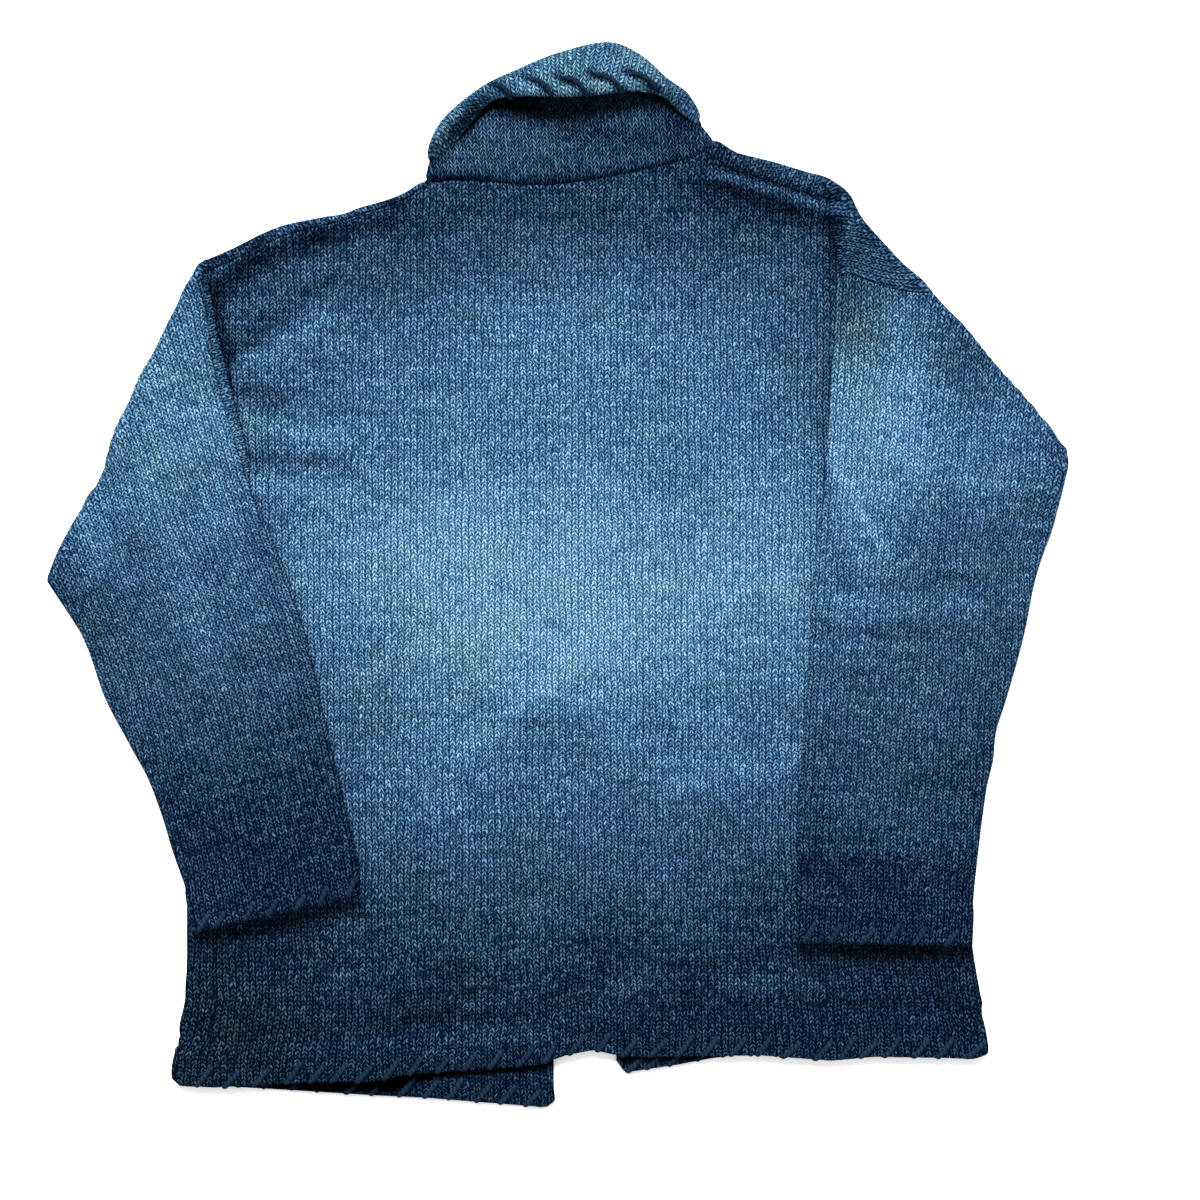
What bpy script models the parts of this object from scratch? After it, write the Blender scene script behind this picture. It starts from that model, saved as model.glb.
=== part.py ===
"""A hand-knit cotton cardigan that lies face down: body flat, both sleeves folded down over its back.

Each piece is made as its maker lays it out, flat and spread, in mm: x runs to the right and y towards the
collar as the back is seen, and z is up from the table.  A panel is its outline times the cloth's thickness,
and a sleeve is a flattened tube.  Each is cut along its fold lines, wrapped round the body's sides and
shoulders, settled into the outline in which it lies, and folded over where a sleeve turns back.  The collar
is a loft through its own rings.
"""
import math

import bmesh
import bpy
import numpy as np

MM = 0.001

# The cloth.
CLOTH = 3.0  # one knitted layer
HEM_CLOTH = 5.5  # a turned hem, two layers pressed together
EASE = 1.0  # air between layers that lie on each other
SEAM = 0.3  # gap between two pieces at a seam
BENT_SEAM = 1.2  # the same where the seam crosses a sleeve's fold
BENT_POINTS = (2, 3)  # from that wider gap to the plain one between these two points of an armhole
BODY = 2 * CLOTH + EASE  # two layers and the air between them

# The body: heights along y at which the hems thicken and the sides flare.
HEM_Y = -361.0
HEM_TOP = HEM_Y + 25.0
HEM_RAMP = HEM_TOP + 9.0
SAG_START = -150.0
BODY_ROWS = (SAG_START, -280.0, -300.0, HEM_RAMP, HEM_TOP)

# How far the hem edges sag (y) at x, and how far the sides flare (x) at y.
BACK_SAG = ((-290, -13), (-276, -22), (-250, -23), (-180, -19), (-140, -19), (-110, -13), (-50, -9),
            (-15, -6), (5, 1), (25, 5), (50, 0), (150, 1), (200, -3), (230, 0), (285, -1), (300, -2),
            (322, 3))
LEFT_SAG = ((-290, -13), (-276, -22), (-250, -23), (-200, -26), (-140, -30), (-100, -32), (-50, -36),
            (-12, -39), (-4, -31))
RIGHT_SAG = ((43, -4), (50, -13), (70, -10), (90, -7), (110, -3), (130, 0), (285, -1), (300, -2), (322, 3))
LEFT_FLARE = ((HEM_Y, -8), (HEM_TOP, -6.5), (HEM_RAMP, -4.5), (-300, 0))
RIGHT_FLARE = ((HEM_Y, 8.5), (HEM_TOP, 7), (HEM_RAMP, 6), (-300, 3), (-280, 0))
FLARE_START = 100.0  # the middle of the body, up to this x each way, doesn't flare
SIDE_TOP = 100.0  # an armhole turns in under the arm below this y

# Folds, each by two points of its outer edge, taken clockwise round the garment.
SIDE_LEFT = ((-280.0, HEM_Y), (-280.0, 6.0))
SIDE_RIGHT = ((311.0, 46.0), (311.0, HEM_Y))
SHOULDER_LEFT = ((-270.0, 235.0), (-100.0, 295.0))
SHOULDER_RIGHT = ((118.0, 319.5), (279.0, 276.0))
SLEEVE_FOLD_LEFT = ((-383.5, -2.0), (-270.5, 234.0))
SLEEVE_FOLD_RIGHT = ((222.0, 272.0), (376.0, 103.0))
FOLD_AIR = 0.75  # the sleeve folds stand this far off the body
FOLD_STEPS = 6  # flat faces round a sleeve's fold
WRAP_STEPS = 4  # the same round a side or a shoulder

# Seams on the back: the shoulder seams' two ends, the side seams, the armholes from shoulder to side.
SHOULDER_SEAM_LEFT = ((-99.5, 290.6), (-264.5, 227.5))
SHOULDER_SEAM_RIGHT = ((107.0, 315.6), (276.5, 264.8))
SIDE_SEAM_LEFT = -257.5
SIDE_SEAM_RIGHT = 280.2
ARMHOLE_LEFT = ((-266, 232.6), (-264.5, 227.5), (-257, 190), (-246, 140), (-237, 105), (-232, 70),
                (-237, 40), (-257.5, 14), (-276.5, 6))
ARMHOLE_RIGHT = ((277, 273), (276.5, 264.8), (279.3, 190), (279, 140), (278.5, 98), (280.2, 70),
                 (290, 54), (307.5, 46))
NECK = ((-94, 294.3), (-80, 296), (-60, 295.7), (-20, 292.8), (5, 294.2), (40, 299.5), (80, 308),
        (97, 312.5))
FRONT_LEFT_EDGE = ((-4, HEM_Y), (-5, -100), (-6, 200))
FRONT_RIGHT_EDGE = ((43, HEM_Y), (38, -100), (32, 206))

# Sleeves as they lie once folded, a row for each section from the armhole to the cuff edge: inner x and y,
# outer x and y, how much the upper layer puffs up, and the thickness of one wall.
SLEEVE_LEFT = (
    (-256, 150, -370, -25, 0.0, CLOTH),
    (-244, 105, -354, -55, 1.5, CLOTH),
    (-225, 53, -341, -92, 2.5, CLOTH),
    (-203, 0, -322, -128, 2.5, CLOTH),
    (-189, -45, -309, -152, 2.5, CLOTH),
    (-178, -95, -299, -178, 2.5, CLOTH),
    (-164, -155, -289, -207, 2.5, CLOTH),
    (-152, -205, -280, -232, 1.0, CLOTH),
    (-150.5, -213, -279, -240, 0.0, HEM_CLOTH),
    (-149, -240, -274, -267, 0.0, HEM_CLOTH),
)
SLEEVE_RIGHT = (
    (205, 200, 377, 84, 0.0, CLOTH),
    (203, 140, 374, 40, 1.5, CLOTH),
    (200, 80, 359, -12, 2.5, CLOTH),
    (195, 35, 349, -48, 2.5, CLOTH),
    (189, -25, 336, -92, 2.5, CLOTH),
    (185, -90, 325, -128, 2.5, CLOTH),
    (181, -150, 317, -180, 2.5, CLOTH),
    (178.5, -205, 312, -222, 2.5, CLOTH),
    (178, -240, 310, -244, 1.0, CLOTH),
    (178, -249, 310, -252, 0.0, HEM_CLOTH),
    (177, -274, 309, -277, 0.0, HEM_CLOTH),
)
DRAPE = 14.0  # outside the body, a folded sleeve comes down to the table over this distance
DRAPE_DROP = 6.5
OUTSIDE_LEFT = (-286.0, -5.0)  # where that starts: outside this x and below this y
OUTSIDE_RIGHT = (317.0, 60.0)
SWELL_SHAPE = 0.7  # the exponent of the puff's half sine: below 1 it is flatter in the middle

# The collar: rings from the neck seam up the stand, over the roll and down the turned-over fall to its rim.
# Each runs from the left front end, round the left side, over the back and round the right side to the
# right front end, with the cloth's thickness first.
COLLAR_STATIONS = ("left end", "left front", "left side", "left back", "middle left", "middle",
                   "middle right", "right back", "right side", "right front", "right end")
COLLAR_RINGS = (
    ("neck seam", CLOTH,
     (-6, 203, 1.6), (-80, 275.5, 1.6), (-103, 299.5, 3.4), (-80, 297.4, 5.6), (-35, 295.0, 5.6),
     (5, 295.6, 5.6), (60, 305.0, 5.6), (92, 313.0, 5.6), (109, 325, 3.6), (85, 291, 1.5), (31, 209, 1.6)),
    ("stand", CLOTH,
     (-8, 252, 1.6), (-74, 291, 1.7), (-90, 310, 4.6), (-66, 324, 9.5), (-28, 324, 9.5), (8, 326, 9.5),
     (62, 332, 9.5), (95, 333, 9.5), (109, 329, 5.4), (83, 306, 1.5), (32, 254, 1.6)),
    ("upper stand", CLOTH,
     (-10, 298, 2.0), (-60, 310, 3.0), (-66, 332, 6.5), (-46, 348, 12), (-18, 352, 12.5), (12, 354, 12.5),
     (62, 357, 12), (87, 351, 11), (99, 338, 7.0), (78, 321, 3.2), (30, 302, 2.0)),
    ("foot of the roll", CLOTH,
     (-12, 322, 5.2), (-40, 331, 5.4), (-50, 347, 8.5), (-34, 365, 15), (-10, 377, 15.5), (20, 383, 15.5),
     (58, 375, 15), (79, 363, 14), (92, 348, 9.0), (66, 340, 5.4), (28, 322, 5.2)),
    ("roll", CLOTH,
     (-12, 334, 3.4), (-44, 343, 3.6), (-62, 352, 6.5), (-45, 372, 21), (-10, 387, 22), (28, 398.8, 22),
     (61, 388, 21), (83, 371, 18), (98, 352, 8.0), (66, 350, 3.6), (28, 334, 3.4)),
    ("fall", 3.5,
     (-12, 327, 1.8), (-58, 333, 1.9), (-82, 337, 4.0), (-60, 360.5, 25), (-12, 377, 30.5), (24, 383, 31),
     (66, 376, 29), (92, 361, 22), (104, 342, 6.5), (76, 338, 1.9), (28, 325, 1.8)),
    ("rim", 5.0,
     (-12, 310, 1.8), (-72, 316, 2.0), (-96, 318, 7.0), (-78, 346, 17), (-15, 363, 25), (15, 362, 25.5),
     (65, 365, 24), (94, 351.5, 16), (110, 334, 6.0), (82, 322, 2.0), (28, 309, 1.8)),
)
HIDDEN_RIM = 3.0  # under the garment the rim lies pressed flat
COLLAR_ROWS = 16
COLLAR_STEPS = 36

INDIGO = (0.060, 0.125, 0.215)
PALE_INDIGO = (0.115, 0.225, 0.340)


class Fold:
    """A straight fold: cloth outside the line turns half round an axis and lies down on top of the rest."""

    def __init__(self, edge, reach):
        start, end = (np.array(point, float) for point in edge)
        self.along = (end - start) / np.linalg.norm(end - start)
        self.out = np.array((-self.along[1], self.along[0]))
        self.point = start - reach * self.out

    def distance(self, xy):
        return (np.asarray(xy, float)[..., :2] - self.point) @ self.out

    def spread(self, xy, radius):
        """Where cloth that lies folded at xy is while it is still spread out."""
        xy = np.asarray(xy, float)
        step = math.pi * radius - 2 * self.distance(xy)
        return xy + step[..., None] * self.out

    def turn(self, points, axis, middle):
        """The axis is at height axis, and the cloth's own middle keeps its length round it."""
        distance = self.distance(points)
        radius = axis - middle
        angle = np.clip(distance / radius, 0, math.pi)
        arm = axis - points[:, 2]
        beyond = np.maximum(distance - math.pi * radius, 0)
        outside = distance > 0
        shift = np.where(outside, arm * np.sin(angle) - beyond - distance, 0)
        points[:, :2] += shift[:, None] * self.out
        points[:, 2] = np.where(outside, axis - arm * np.cos(angle), points[:, 2])


def layer(y):
    """Thickness of the body's cloth at y: single, or doubled in the hem."""
    return np.interp(y, (HEM_TOP, HEM_RAMP), (HEM_CLOTH, CLOTH))


def wrap_axis(y):
    """Height round which a front wraps on to the back side: halfway up both layers."""
    return layer(y) + EASE / 2


SINGLE_WRAP = (CLOTH + EASE) / 2  # bend radius of the cloth's middle at a side or shoulder
HEM_WRAP = (HEM_CLOTH + EASE) / 2
WRAP_REACH = CLOTH + EASE / 2
SLEEVE_AXIS = BODY + FOLD_AIR
SLEEVE_WRAP = SLEEVE_AXIS - BODY / 2

side_left = Fold(SIDE_LEFT, WRAP_REACH)
side_right = Fold(SIDE_RIGHT, WRAP_REACH)
shoulder_left = Fold(SHOULDER_LEFT, WRAP_REACH)
shoulder_right = Fold(SHOULDER_RIGHT, WRAP_REACH)
sleeve_fold_left = Fold(SLEEVE_FOLD_LEFT, SLEEVE_AXIS)
sleeve_fold_right = Fold(SLEEVE_FOLD_RIGHT, SLEEVE_AXIS)


# Mesh helpers.
def cut(mesh, point, normal, top=math.inf):
    """A line of vertices through the piece, below y of top, along a vertical plane."""
    faces = [face for face in mesh.faces if all(vertex.co.y < top + SEAM for vertex in face.verts)]
    edges = {edge for face in faces for edge in face.edges}
    verts = {vertex for face in faces for vertex in face.verts}
    geometry = list(verts) + list(edges) + faces
    bmesh.ops.bisect_plane(mesh, geom=geometry, dist=1e-4, plane_co=(*point, 0), plane_no=(*normal, 0))


def cut_along(mesh, fold, radii, steps):
    """Cuts for a fold: one where it starts and then round each of its bend radii."""
    distances = {round(math.pi * radius * step / steps, 3) for radius in radii for step in range(steps + 1)}
    for distance in sorted(distances):
        cut(mesh, fold.point + distance * fold.out, fold.out)


def slab(outline):
    """A flat piece with this outline; its z of 0 and 1 are the cloth's lower and upper face."""
    mesh = bmesh.new()
    face = mesh.faces.new([mesh.verts.new((*point, 0)) for point in outline])
    lifted = bmesh.ops.extrude_face_region(mesh, geom=[face])["geom"]
    bmesh.ops.translate(mesh, vec=(0, 0, 1), verts=[v for v in lifted if isinstance(v, bmesh.types.BMVert)])
    bmesh.ops.recalc_face_normals(mesh, faces=mesh.faces[:])
    return mesh


def read(mesh):
    return np.array([vertex.co for vertex in mesh.verts], float)


def write(mesh, points):
    for vertex, point in zip(mesh.verts, points):
        vertex.co = point


def fold_over(mesh, fold):
    """Everything outside the fold turns over and lies down on top."""
    cut_along(mesh, fold, (SLEEVE_WRAP,), FOLD_STEPS)
    points = read(mesh)
    fold.turn(points, SLEEVE_AXIS, BODY / 2)
    write(mesh, points)


def finish(name, mesh, material):
    """The piece as an object in metres, its faces as triangles."""
    bmesh.ops.triangulate(mesh, faces=mesh.faces[:])
    bmesh.ops.recalc_face_normals(mesh, faces=mesh.faces[:])
    bmesh.ops.scale(mesh, vec=(MM, MM, MM), verts=mesh.verts[:])
    data = bpy.data.meshes.new(name)
    mesh.to_mesh(data)
    mesh.free()
    return add(name, data, material)


def add(name, data, material):
    piece = bpy.data.objects.new(name, data)
    data.materials.append(material)
    data.shade_smooth()
    data.set_sharp_from_angle(angle=math.radians(40))
    cardigan.objects.link(piece)
    return piece


def knit_material(name, colour):
    material = bpy.data.materials.new(name)
    material.use_nodes = True
    shader = material.node_tree.nodes["Principled BSDF"]
    shader.inputs["Base Color"].default_value = (*colour, 1)
    shader.inputs["Roughness"].default_value = 0.95
    shader.inputs["Metallic"].default_value = 0.0
    return material


# The body.
def settle(points, sag):
    """Hem edges sag and the sides flare, as the cloth was let down."""
    x, y = points[:, 0].copy(), points[:, 1].copy()
    low = np.interp(y, (HEM_RAMP, SAG_START), (1, 0))
    points[:, 1] += low * np.interp(x, *zip(*sag))
    points[:, 0] += np.interp(y, *zip(*LEFT_FLARE)) * np.interp(x, (SIDE_SEAM_LEFT, -FLARE_START), (1, 0))
    points[:, 0] += np.interp(y, *zip(*RIGHT_FLARE)) * np.interp(x, (FLARE_START, SIDE_SEAM_RIGHT), (0, 1))


def wrap_end(fold, seam_x, y, gap):
    """x at which a front's wrapped edge lies at height y, moved on by gap."""
    reach = abs(seam_x - fold.point[0]) + math.pi * SINGLE_WRAP
    inwards = reach - math.pi * (wrap_axis(y) - layer(y) / 2) + gap
    return fold.point[0] - fold.out[0] * inwards


def make_front(name, side, shoulder, seam, side_seam, armhole, edge, sag):
    """A front: round the side and over the shoulder it reaches on to the back."""
    seam_neck, seam_tip = seam
    neck_corner = np.array(seam_neck) - shoulder.distance(seam_neck) * shoulder.out
    outside = [point for point in reversed(armhole) if abs(point[0]) >= abs(side_seam)]
    underarm = [point for point in outside if point[1] < SIDE_TOP]
    shoulder_edge = shoulder.spread((seam_neck, seam_tip, armhole[0]), SINGLE_WRAP)
    side_edge = side.spread([*underarm, (side_seam, HEM_Y)], SINGLE_WRAP)
    outline = [*edge, neck_corner, *shoulder_edge, *armhole, *side_edge]
    mesh = slab(outline)
    for y in BODY_ROWS:
        cut(mesh, (0, y), (0, 1))
    for x, _ in sag:
        if abs(x) < abs(side.point[0]):
            cut(mesh, (x, 0), (1, 0), SAG_START)
    cut_along(mesh, side, (SINGLE_WRAP, HEM_WRAP), WRAP_STEPS)
    cut_along(mesh, shoulder, (SINGLE_WRAP,), WRAP_STEPS)
    points = read(mesh)
    thickness = layer(points[:, 1])
    axis = wrap_axis(points[:, 1])
    points[:, 2] *= thickness
    side.turn(points, axis, thickness / 2)
    shoulder.turn(points, WRAP_REACH, CLOTH / 2)
    settle(points, sag)
    write(mesh, points)
    fold_over(mesh, sleeve_fold_left)
    fold_over(mesh, sleeve_fold_right)
    return finish(name, mesh, knit_material(name + " knit", INDIGO))


def inside(seam, fold):
    neck, tip = seam
    return neck - SEAM * fold.out, tip - BENT_SEAM * fold.out


def make_back():
    """The back panel, between the side and shoulder seams, from the neck to its turned hem."""
    neck_left, tip_left = inside(SHOULDER_SEAM_LEFT, shoulder_left)
    neck_right, tip_right = inside(SHOULDER_SEAM_RIGHT, shoulder_right)
    rows = (HEM_Y, HEM_TOP, HEM_RAMP)
    left = [(wrap_end(side_left, SIDE_SEAM_LEFT, y, SEAM), y) for y in rows]
    right = [(wrap_end(side_right, SIDE_SEAM_RIGHT, y, SEAM), y) for y in rows]
    armhole_left = [(x, y) for x, y in ARMHOLE_LEFT if y < tip_left[1] and x > SIDE_SEAM_LEFT]
    armhole_right = [(x, y) for x, y in ARMHOLE_RIGHT if y < tip_right[1] and x < SIDE_SEAM_RIGHT]
    left.append((left[-1][0], dict(ARMHOLE_LEFT)[SIDE_SEAM_LEFT] + SEAM))
    right.append((right[-1][0], dict(ARMHOLE_RIGHT)[SIDE_SEAM_RIGHT] + SEAM))
    outline = left + armhole_left[::-1] + [tip_left, neck_left, *NECK, neck_right, tip_right]
    outline += armhole_right + right[::-1]
    mesh = slab(outline)
    for y in BODY_ROWS:
        cut(mesh, (0, y), (0, 1))
    for x, _ in BACK_SAG:
        cut(mesh, (x, 0), (1, 0), SAG_START)
    points = read(mesh)
    thickness = layer(points[:, 1])
    points[:, 2] = thickness + EASE + points[:, 2] * thickness
    settle(points, BACK_SAG)
    write(mesh, points)
    fold_over(mesh, sleeve_fold_left)
    fold_over(mesh, sleeve_fold_right)
    return finish("back", mesh, knit_material("back knit", INDIGO))


# The sleeves.
def section(line, ends, puff, wall):
    """A flattened tube's section: its flat part follows the line, and its round ends point along ends.

    The outer loop comes first, then the inner one.  The lower face swells by puff in the middle.
    """
    line = np.array(line, float)
    middle = BODY - wall - EASE / 2
    swell = puff * np.sin(math.pi * np.linspace(0, 1, len(line))).clip(0) ** SWELL_SHAPE
    corners = np.radians((45, 90, 135))
    loops = []
    for radius in (wall + EASE / 2, EASE / 2):
        reach = radius * np.sin(corners)[:, None]
        rise = radius * np.cos(corners)
        plan = np.vstack((line, line[-1] + reach * ends[1], line[::-1], line[0] + reach * ends[0]))
        heights = (np.full(len(line), radius), rise, -radius - swell[::-1], -rise)
        loops.append(np.column_stack((plan, middle + np.concatenate(heights))))
    return np.vstack(loops)


def bridge(mesh, sections):
    """Outer and inner walls between the sections, and a ring of faces at each open end."""
    grid = [[mesh.verts.new(point) for point in points] for points in sections]
    count = len(grid[0]) // 2
    for first, second in zip(grid, grid[1:]):
        for i in range(count):
            j = (i + 1) % count
            mesh.faces.new((first[i], first[j], second[j], second[i]))
            mesh.faces.new((second[count + i], second[count + j], first[count + j], first[count + i]))
    for end in (grid[0], grid[-1]):
        for i in range(count):
            j = (i + 1) % count
            mesh.faces.new((end[i], end[count + i], end[count + j], end[j]))


def drape(points, corner):
    """Where a folded sleeve lies outside the body, with nothing under it, it comes down to the table."""
    edge_x, under_y = corner
    side = math.copysign(1, edge_x)
    outside = np.clip((side * points[:, 0] - abs(edge_x)) / DRAPE, 0, 1)
    below = np.clip((under_y - points[:, 1]) / (3 * DRAPE), 0, 1)
    folded = np.clip((points[:, 2] - BODY) / FOLD_AIR, 0, 1)
    points[:, 2] -= DRAPE_DROP * outside * below * folded


def make_sleeve(name, table, armhole, fold, shoulder, side, corner):
    """A tapered tube from the armhole to the turned cuff, folded down over the back."""
    edge_x = corner[0]
    seam = np.array(armhole, float)
    run = np.gradient(seam, axis=0)
    away = run[:, ::-1] * (-1, 1) / np.linalg.norm(run, axis=1)[:, None] * math.copysign(1, edge_x)
    seam += away * np.interp(range(len(seam)), BENT_POINTS, (BENT_SEAM, SEAM))[:, None]
    steps = np.linalg.norm(np.diff(seam, axis=0), axis=1)
    shares = np.concatenate(([0], np.cumsum(steps)))[:, None] / steps.sum()
    sections = [section(seam, (shoulder.out, side.out), 0, CLOTH)]
    for inner_x, inner_y, outer_x, outer_y, puff, wall in table:
        inner, outer = fold.spread(((inner_x, inner_y), (outer_x, outer_y)), SLEEVE_WRAP)
        across = (outer - inner) / np.linalg.norm(outer - inner)
        radius = wall + EASE / 2
        start, end = inner + radius * across, outer - radius * across
        sections.append(section(start + shares * (end - start), (-across, across), puff, wall))
    mesh = bmesh.new()
    bridge(mesh, sections)
    bmesh.ops.recalc_face_normals(mesh, faces=mesh.faces[:])
    fold_over(mesh, fold)
    for share in (0, 0.5, 1):
        cut(mesh, (edge_x + math.copysign(share * DRAPE, edge_x), 0), (1, 0))
    points = read(mesh)
    drape(points, corner)
    write(mesh, points)
    return finish(name, mesh, knit_material(name + " knit", PALE_INDIGO))


# The collar.
def smooth(control, count):
    """A curve through the control points (Catmull-Rom), sampled evenly in their numbering."""
    control = np.asarray(control, float)
    padded = np.concatenate((2 * control[:1] - control[1:2], control, 2 * control[-1:] - control[-2:-1]))
    place = np.linspace(0, len(control) - 1, count)
    first = np.minimum(place.astype(int), len(control) - 2)
    t = (place - first).reshape((-1,) + (1,) * (control.ndim - 1))
    a, b, c, d = (padded[first + k] for k in range(4))
    return 0.5 * (2 * b + (c - a) * t + (2 * a - 5 * b + 4 * c - d) * t**2 + (3 * b - a - 3 * c + d) * t**3)


def make_collar():
    """An open sheet through the rings, thickened on both sides; the rim is doubled cloth."""
    rings = np.array([smooth(row[2:], COLLAR_STEPS) for row in COLLAR_RINGS])
    sheet = smooth(rings, COLLAR_ROWS)
    last = len(COLLAR_STATIONS) - 1
    shown = np.interp(np.linspace(0, last, COLLAR_STEPS), (1, 2, last - 2, last - 1), (0, 1, 1, 0))
    full = smooth([row[1] for row in COLLAR_RINGS], COLLAR_ROWS)
    thickness = HIDDEN_RIM + np.outer(full - HIDDEN_RIM, shown)
    sheet[:, :, 2] = np.maximum(sheet[:, :, 2], thickness / 2)
    index = np.arange(COLLAR_ROWS * COLLAR_STEPS).reshape(COLLAR_ROWS, COLLAR_STEPS)
    faces = np.stack((index[:-1, :-1], index[:-1, 1:], index[1:, 1:], index[1:, :-1]), axis=-1)
    data = bpy.data.meshes.new("collar")
    data.from_pydata((sheet.reshape(-1, 3) * MM).tolist(), [], faces.reshape(-1, 4).tolist())
    collar = add("collar", data, knit_material("collar knit", PALE_INDIGO))
    group = collar.vertex_groups.new(name="thickness")
    thickest = thickness.max()
    for index, thick in enumerate(thickness.ravel()):
        group.add([index], thick / thickest, "REPLACE")
    wall = collar.modifiers.new("cloth", "SOLIDIFY")
    wall.thickness = thickest * MM
    wall.offset = 0
    wall.vertex_group = "thickness"
    wall.use_quality_normals = True
    return collar


for old in list(bpy.data.objects):
    bpy.data.objects.remove(old)
cardigan = bpy.data.collections.new("cardigan")
bpy.context.scene.collection.children.link(cardigan)

make_back()
make_front("front_left", side_left, shoulder_left, SHOULDER_SEAM_LEFT, SIDE_SEAM_LEFT, ARMHOLE_LEFT,
           FRONT_LEFT_EDGE, LEFT_SAG)
make_front("front_right", side_right, shoulder_right, SHOULDER_SEAM_RIGHT, SIDE_SEAM_RIGHT, ARMHOLE_RIGHT,
           FRONT_RIGHT_EDGE, RIGHT_SAG)
make_sleeve("sleeve_left", SLEEVE_LEFT, ARMHOLE_LEFT, sleeve_fold_left, shoulder_left, side_left,
            OUTSIDE_LEFT)
make_sleeve("sleeve_right", SLEEVE_RIGHT, ARMHOLE_RIGHT, sleeve_fold_right, shoulder_right, side_right,
            OUTSIDE_RIGHT)
make_collar()
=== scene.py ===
"""The looks of a hand-knit indigo cardigan that lies face down, its sleeves folded down over its back.

Every knitted piece is a thin closed skin on the form of its solid.  It is worked out flat and spread, in
mm, then wrapped round the body's sides and shoulders, settled and folded over as its maker would.  x runs
to the right and y towards the collar as the back is seen, z is up from the table.  The stitches are drawn
on each piece's own UV map, which counts stitches across (u) and rows along (v).
"""
import math

import bpy
import numpy as np
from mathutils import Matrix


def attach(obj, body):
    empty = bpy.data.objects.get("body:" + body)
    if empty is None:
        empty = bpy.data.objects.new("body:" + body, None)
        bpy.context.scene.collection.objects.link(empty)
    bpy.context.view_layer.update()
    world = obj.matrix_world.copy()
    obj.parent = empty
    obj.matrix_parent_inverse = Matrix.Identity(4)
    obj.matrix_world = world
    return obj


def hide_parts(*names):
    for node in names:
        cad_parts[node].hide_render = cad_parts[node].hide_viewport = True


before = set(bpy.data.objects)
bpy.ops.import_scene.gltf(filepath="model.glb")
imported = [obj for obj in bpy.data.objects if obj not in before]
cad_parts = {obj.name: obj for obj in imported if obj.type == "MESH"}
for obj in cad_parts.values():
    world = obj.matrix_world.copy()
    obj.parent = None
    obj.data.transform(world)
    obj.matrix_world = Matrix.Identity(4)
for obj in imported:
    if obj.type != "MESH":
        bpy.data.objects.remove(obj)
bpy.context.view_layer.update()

MM = 0.001
dice = np.random.default_rng(7)

# The cloth, as its solids have it: single or doubled in the hems, with a little air between the layers.
CLOTH = 3.0
HEM_CLOTH = 5.5
EASE = 1.0
SEAM = 0.3
BODY = 2 * CLOTH + EASE
HEM_Y = -361.0
HEM_TOP = HEM_Y + 25.0
HEM_RAMP = HEM_TOP + 9.0
GROOVE_Y = HEM_RAMP + 1.0
GROOVE = 1.3
GROOVE_HALF = 3.5

# How the hems hang from their straight line, as x and the move in y there, and how the sides stand out
# from theirs, as y and the move in x.
SAG_START = -150.0
BACK_SAG = (
    (-290, -13), (-276, -22), (-250, -23), (-180, -19), (-140, -19), (-110, -13), (-50, -9), (-15, -6),
    (5, 1), (25, 5), (50, 0), (150, 1), (200, -3), (230, 0), (285, -1), (300, -2), (322, 3),
)
LEFT_SAG = (
    (-290, -13), (-276, -22), (-250, -23), (-200, -26), (-140, -30), (-100, -32), (-50, -36), (-12, -39),
    (-4, -31),
)
RIGHT_SAG = (
    (43, -4), (50, -13), (70, -10), (90, -7), (110, -3), (130, 0), (285, -1), (300, -2), (322, 3),
)
LEFT_FLARE = ((HEM_Y, -8), (HEM_TOP, -6.5), (HEM_RAMP, -4.5), (-300, 0))
RIGHT_FLARE = ((HEM_Y, 8.5), (HEM_TOP, 7), (HEM_RAMP, 6), (-300, 3), (-280, 0))
FLARE_START = 100.0

# Folds by two points of their outer edge, clockwise, and the seams on the back.
SIDE_LEFT = ((-280.0, HEM_Y), (-280.0, 6.0))
SIDE_RIGHT = ((311.0, 46.0), (311.0, HEM_Y))
SHOULDER_LEFT = ((-270.0, 235.0), (-100.0, 295.0))
SHOULDER_RIGHT = ((118.0, 319.5), (279.0, 276.0))
SLEEVE_FOLD_LEFT = ((-383.5, -2.0), (-270.5, 234.0))
SLEEVE_FOLD_RIGHT = ((222.0, 272.0), (376.0, 103.0))
FOLD_AIR = 0.75
SHOULDER_SEAM_LEFT = ((-99.5, 290.6), (-264.5, 227.5))
SHOULDER_SEAM_RIGHT = (
    (107.0, 315.6), (118.0, 308.5), (130.0, 302.5), (164.0, 291.7), (200.0, 280.8), (240.0, 270.5),
    (276.5, 264.8),
)
SIDE_SEAM_LEFT = -257.5
SIDE_SEAM_RIGHT = 280.2
ARMHOLE_LEFT = (
    (-266, 232.6), (-264.5, 227.5), (-257, 190), (-246, 140), (-237, 105), (-232, 70), (-237, 40),
    (-257.5, 14), (-276.5, 6),
)
ARMHOLE_RIGHT = (
    (277, 273), (276.5, 264.8), (279.3, 190), (279, 140), (278.5, 98), (280.2, 70), (290, 54),
    (307.5, 46),
)
BACK_ARMHOLE_LEFT = slice(1, 8)  # the points of each armhole that lie on the back, down to its side seam
BACK_ARMHOLE_RIGHT = slice(1, 6)
NECK = (
    (-94, 294.3), (-80, 296), (-60, 295.7), (-20, 292.8), (5, 294.2), (40, 299.5), (80, 308), (97, 312.5),
)
FRONT_LEFT_EDGE = ((-4, HEM_Y), (-5, -100), (-6, 200))
FRONT_RIGHT_EDGE = ((43, HEM_Y), (38, -100), (32, 206))

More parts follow.
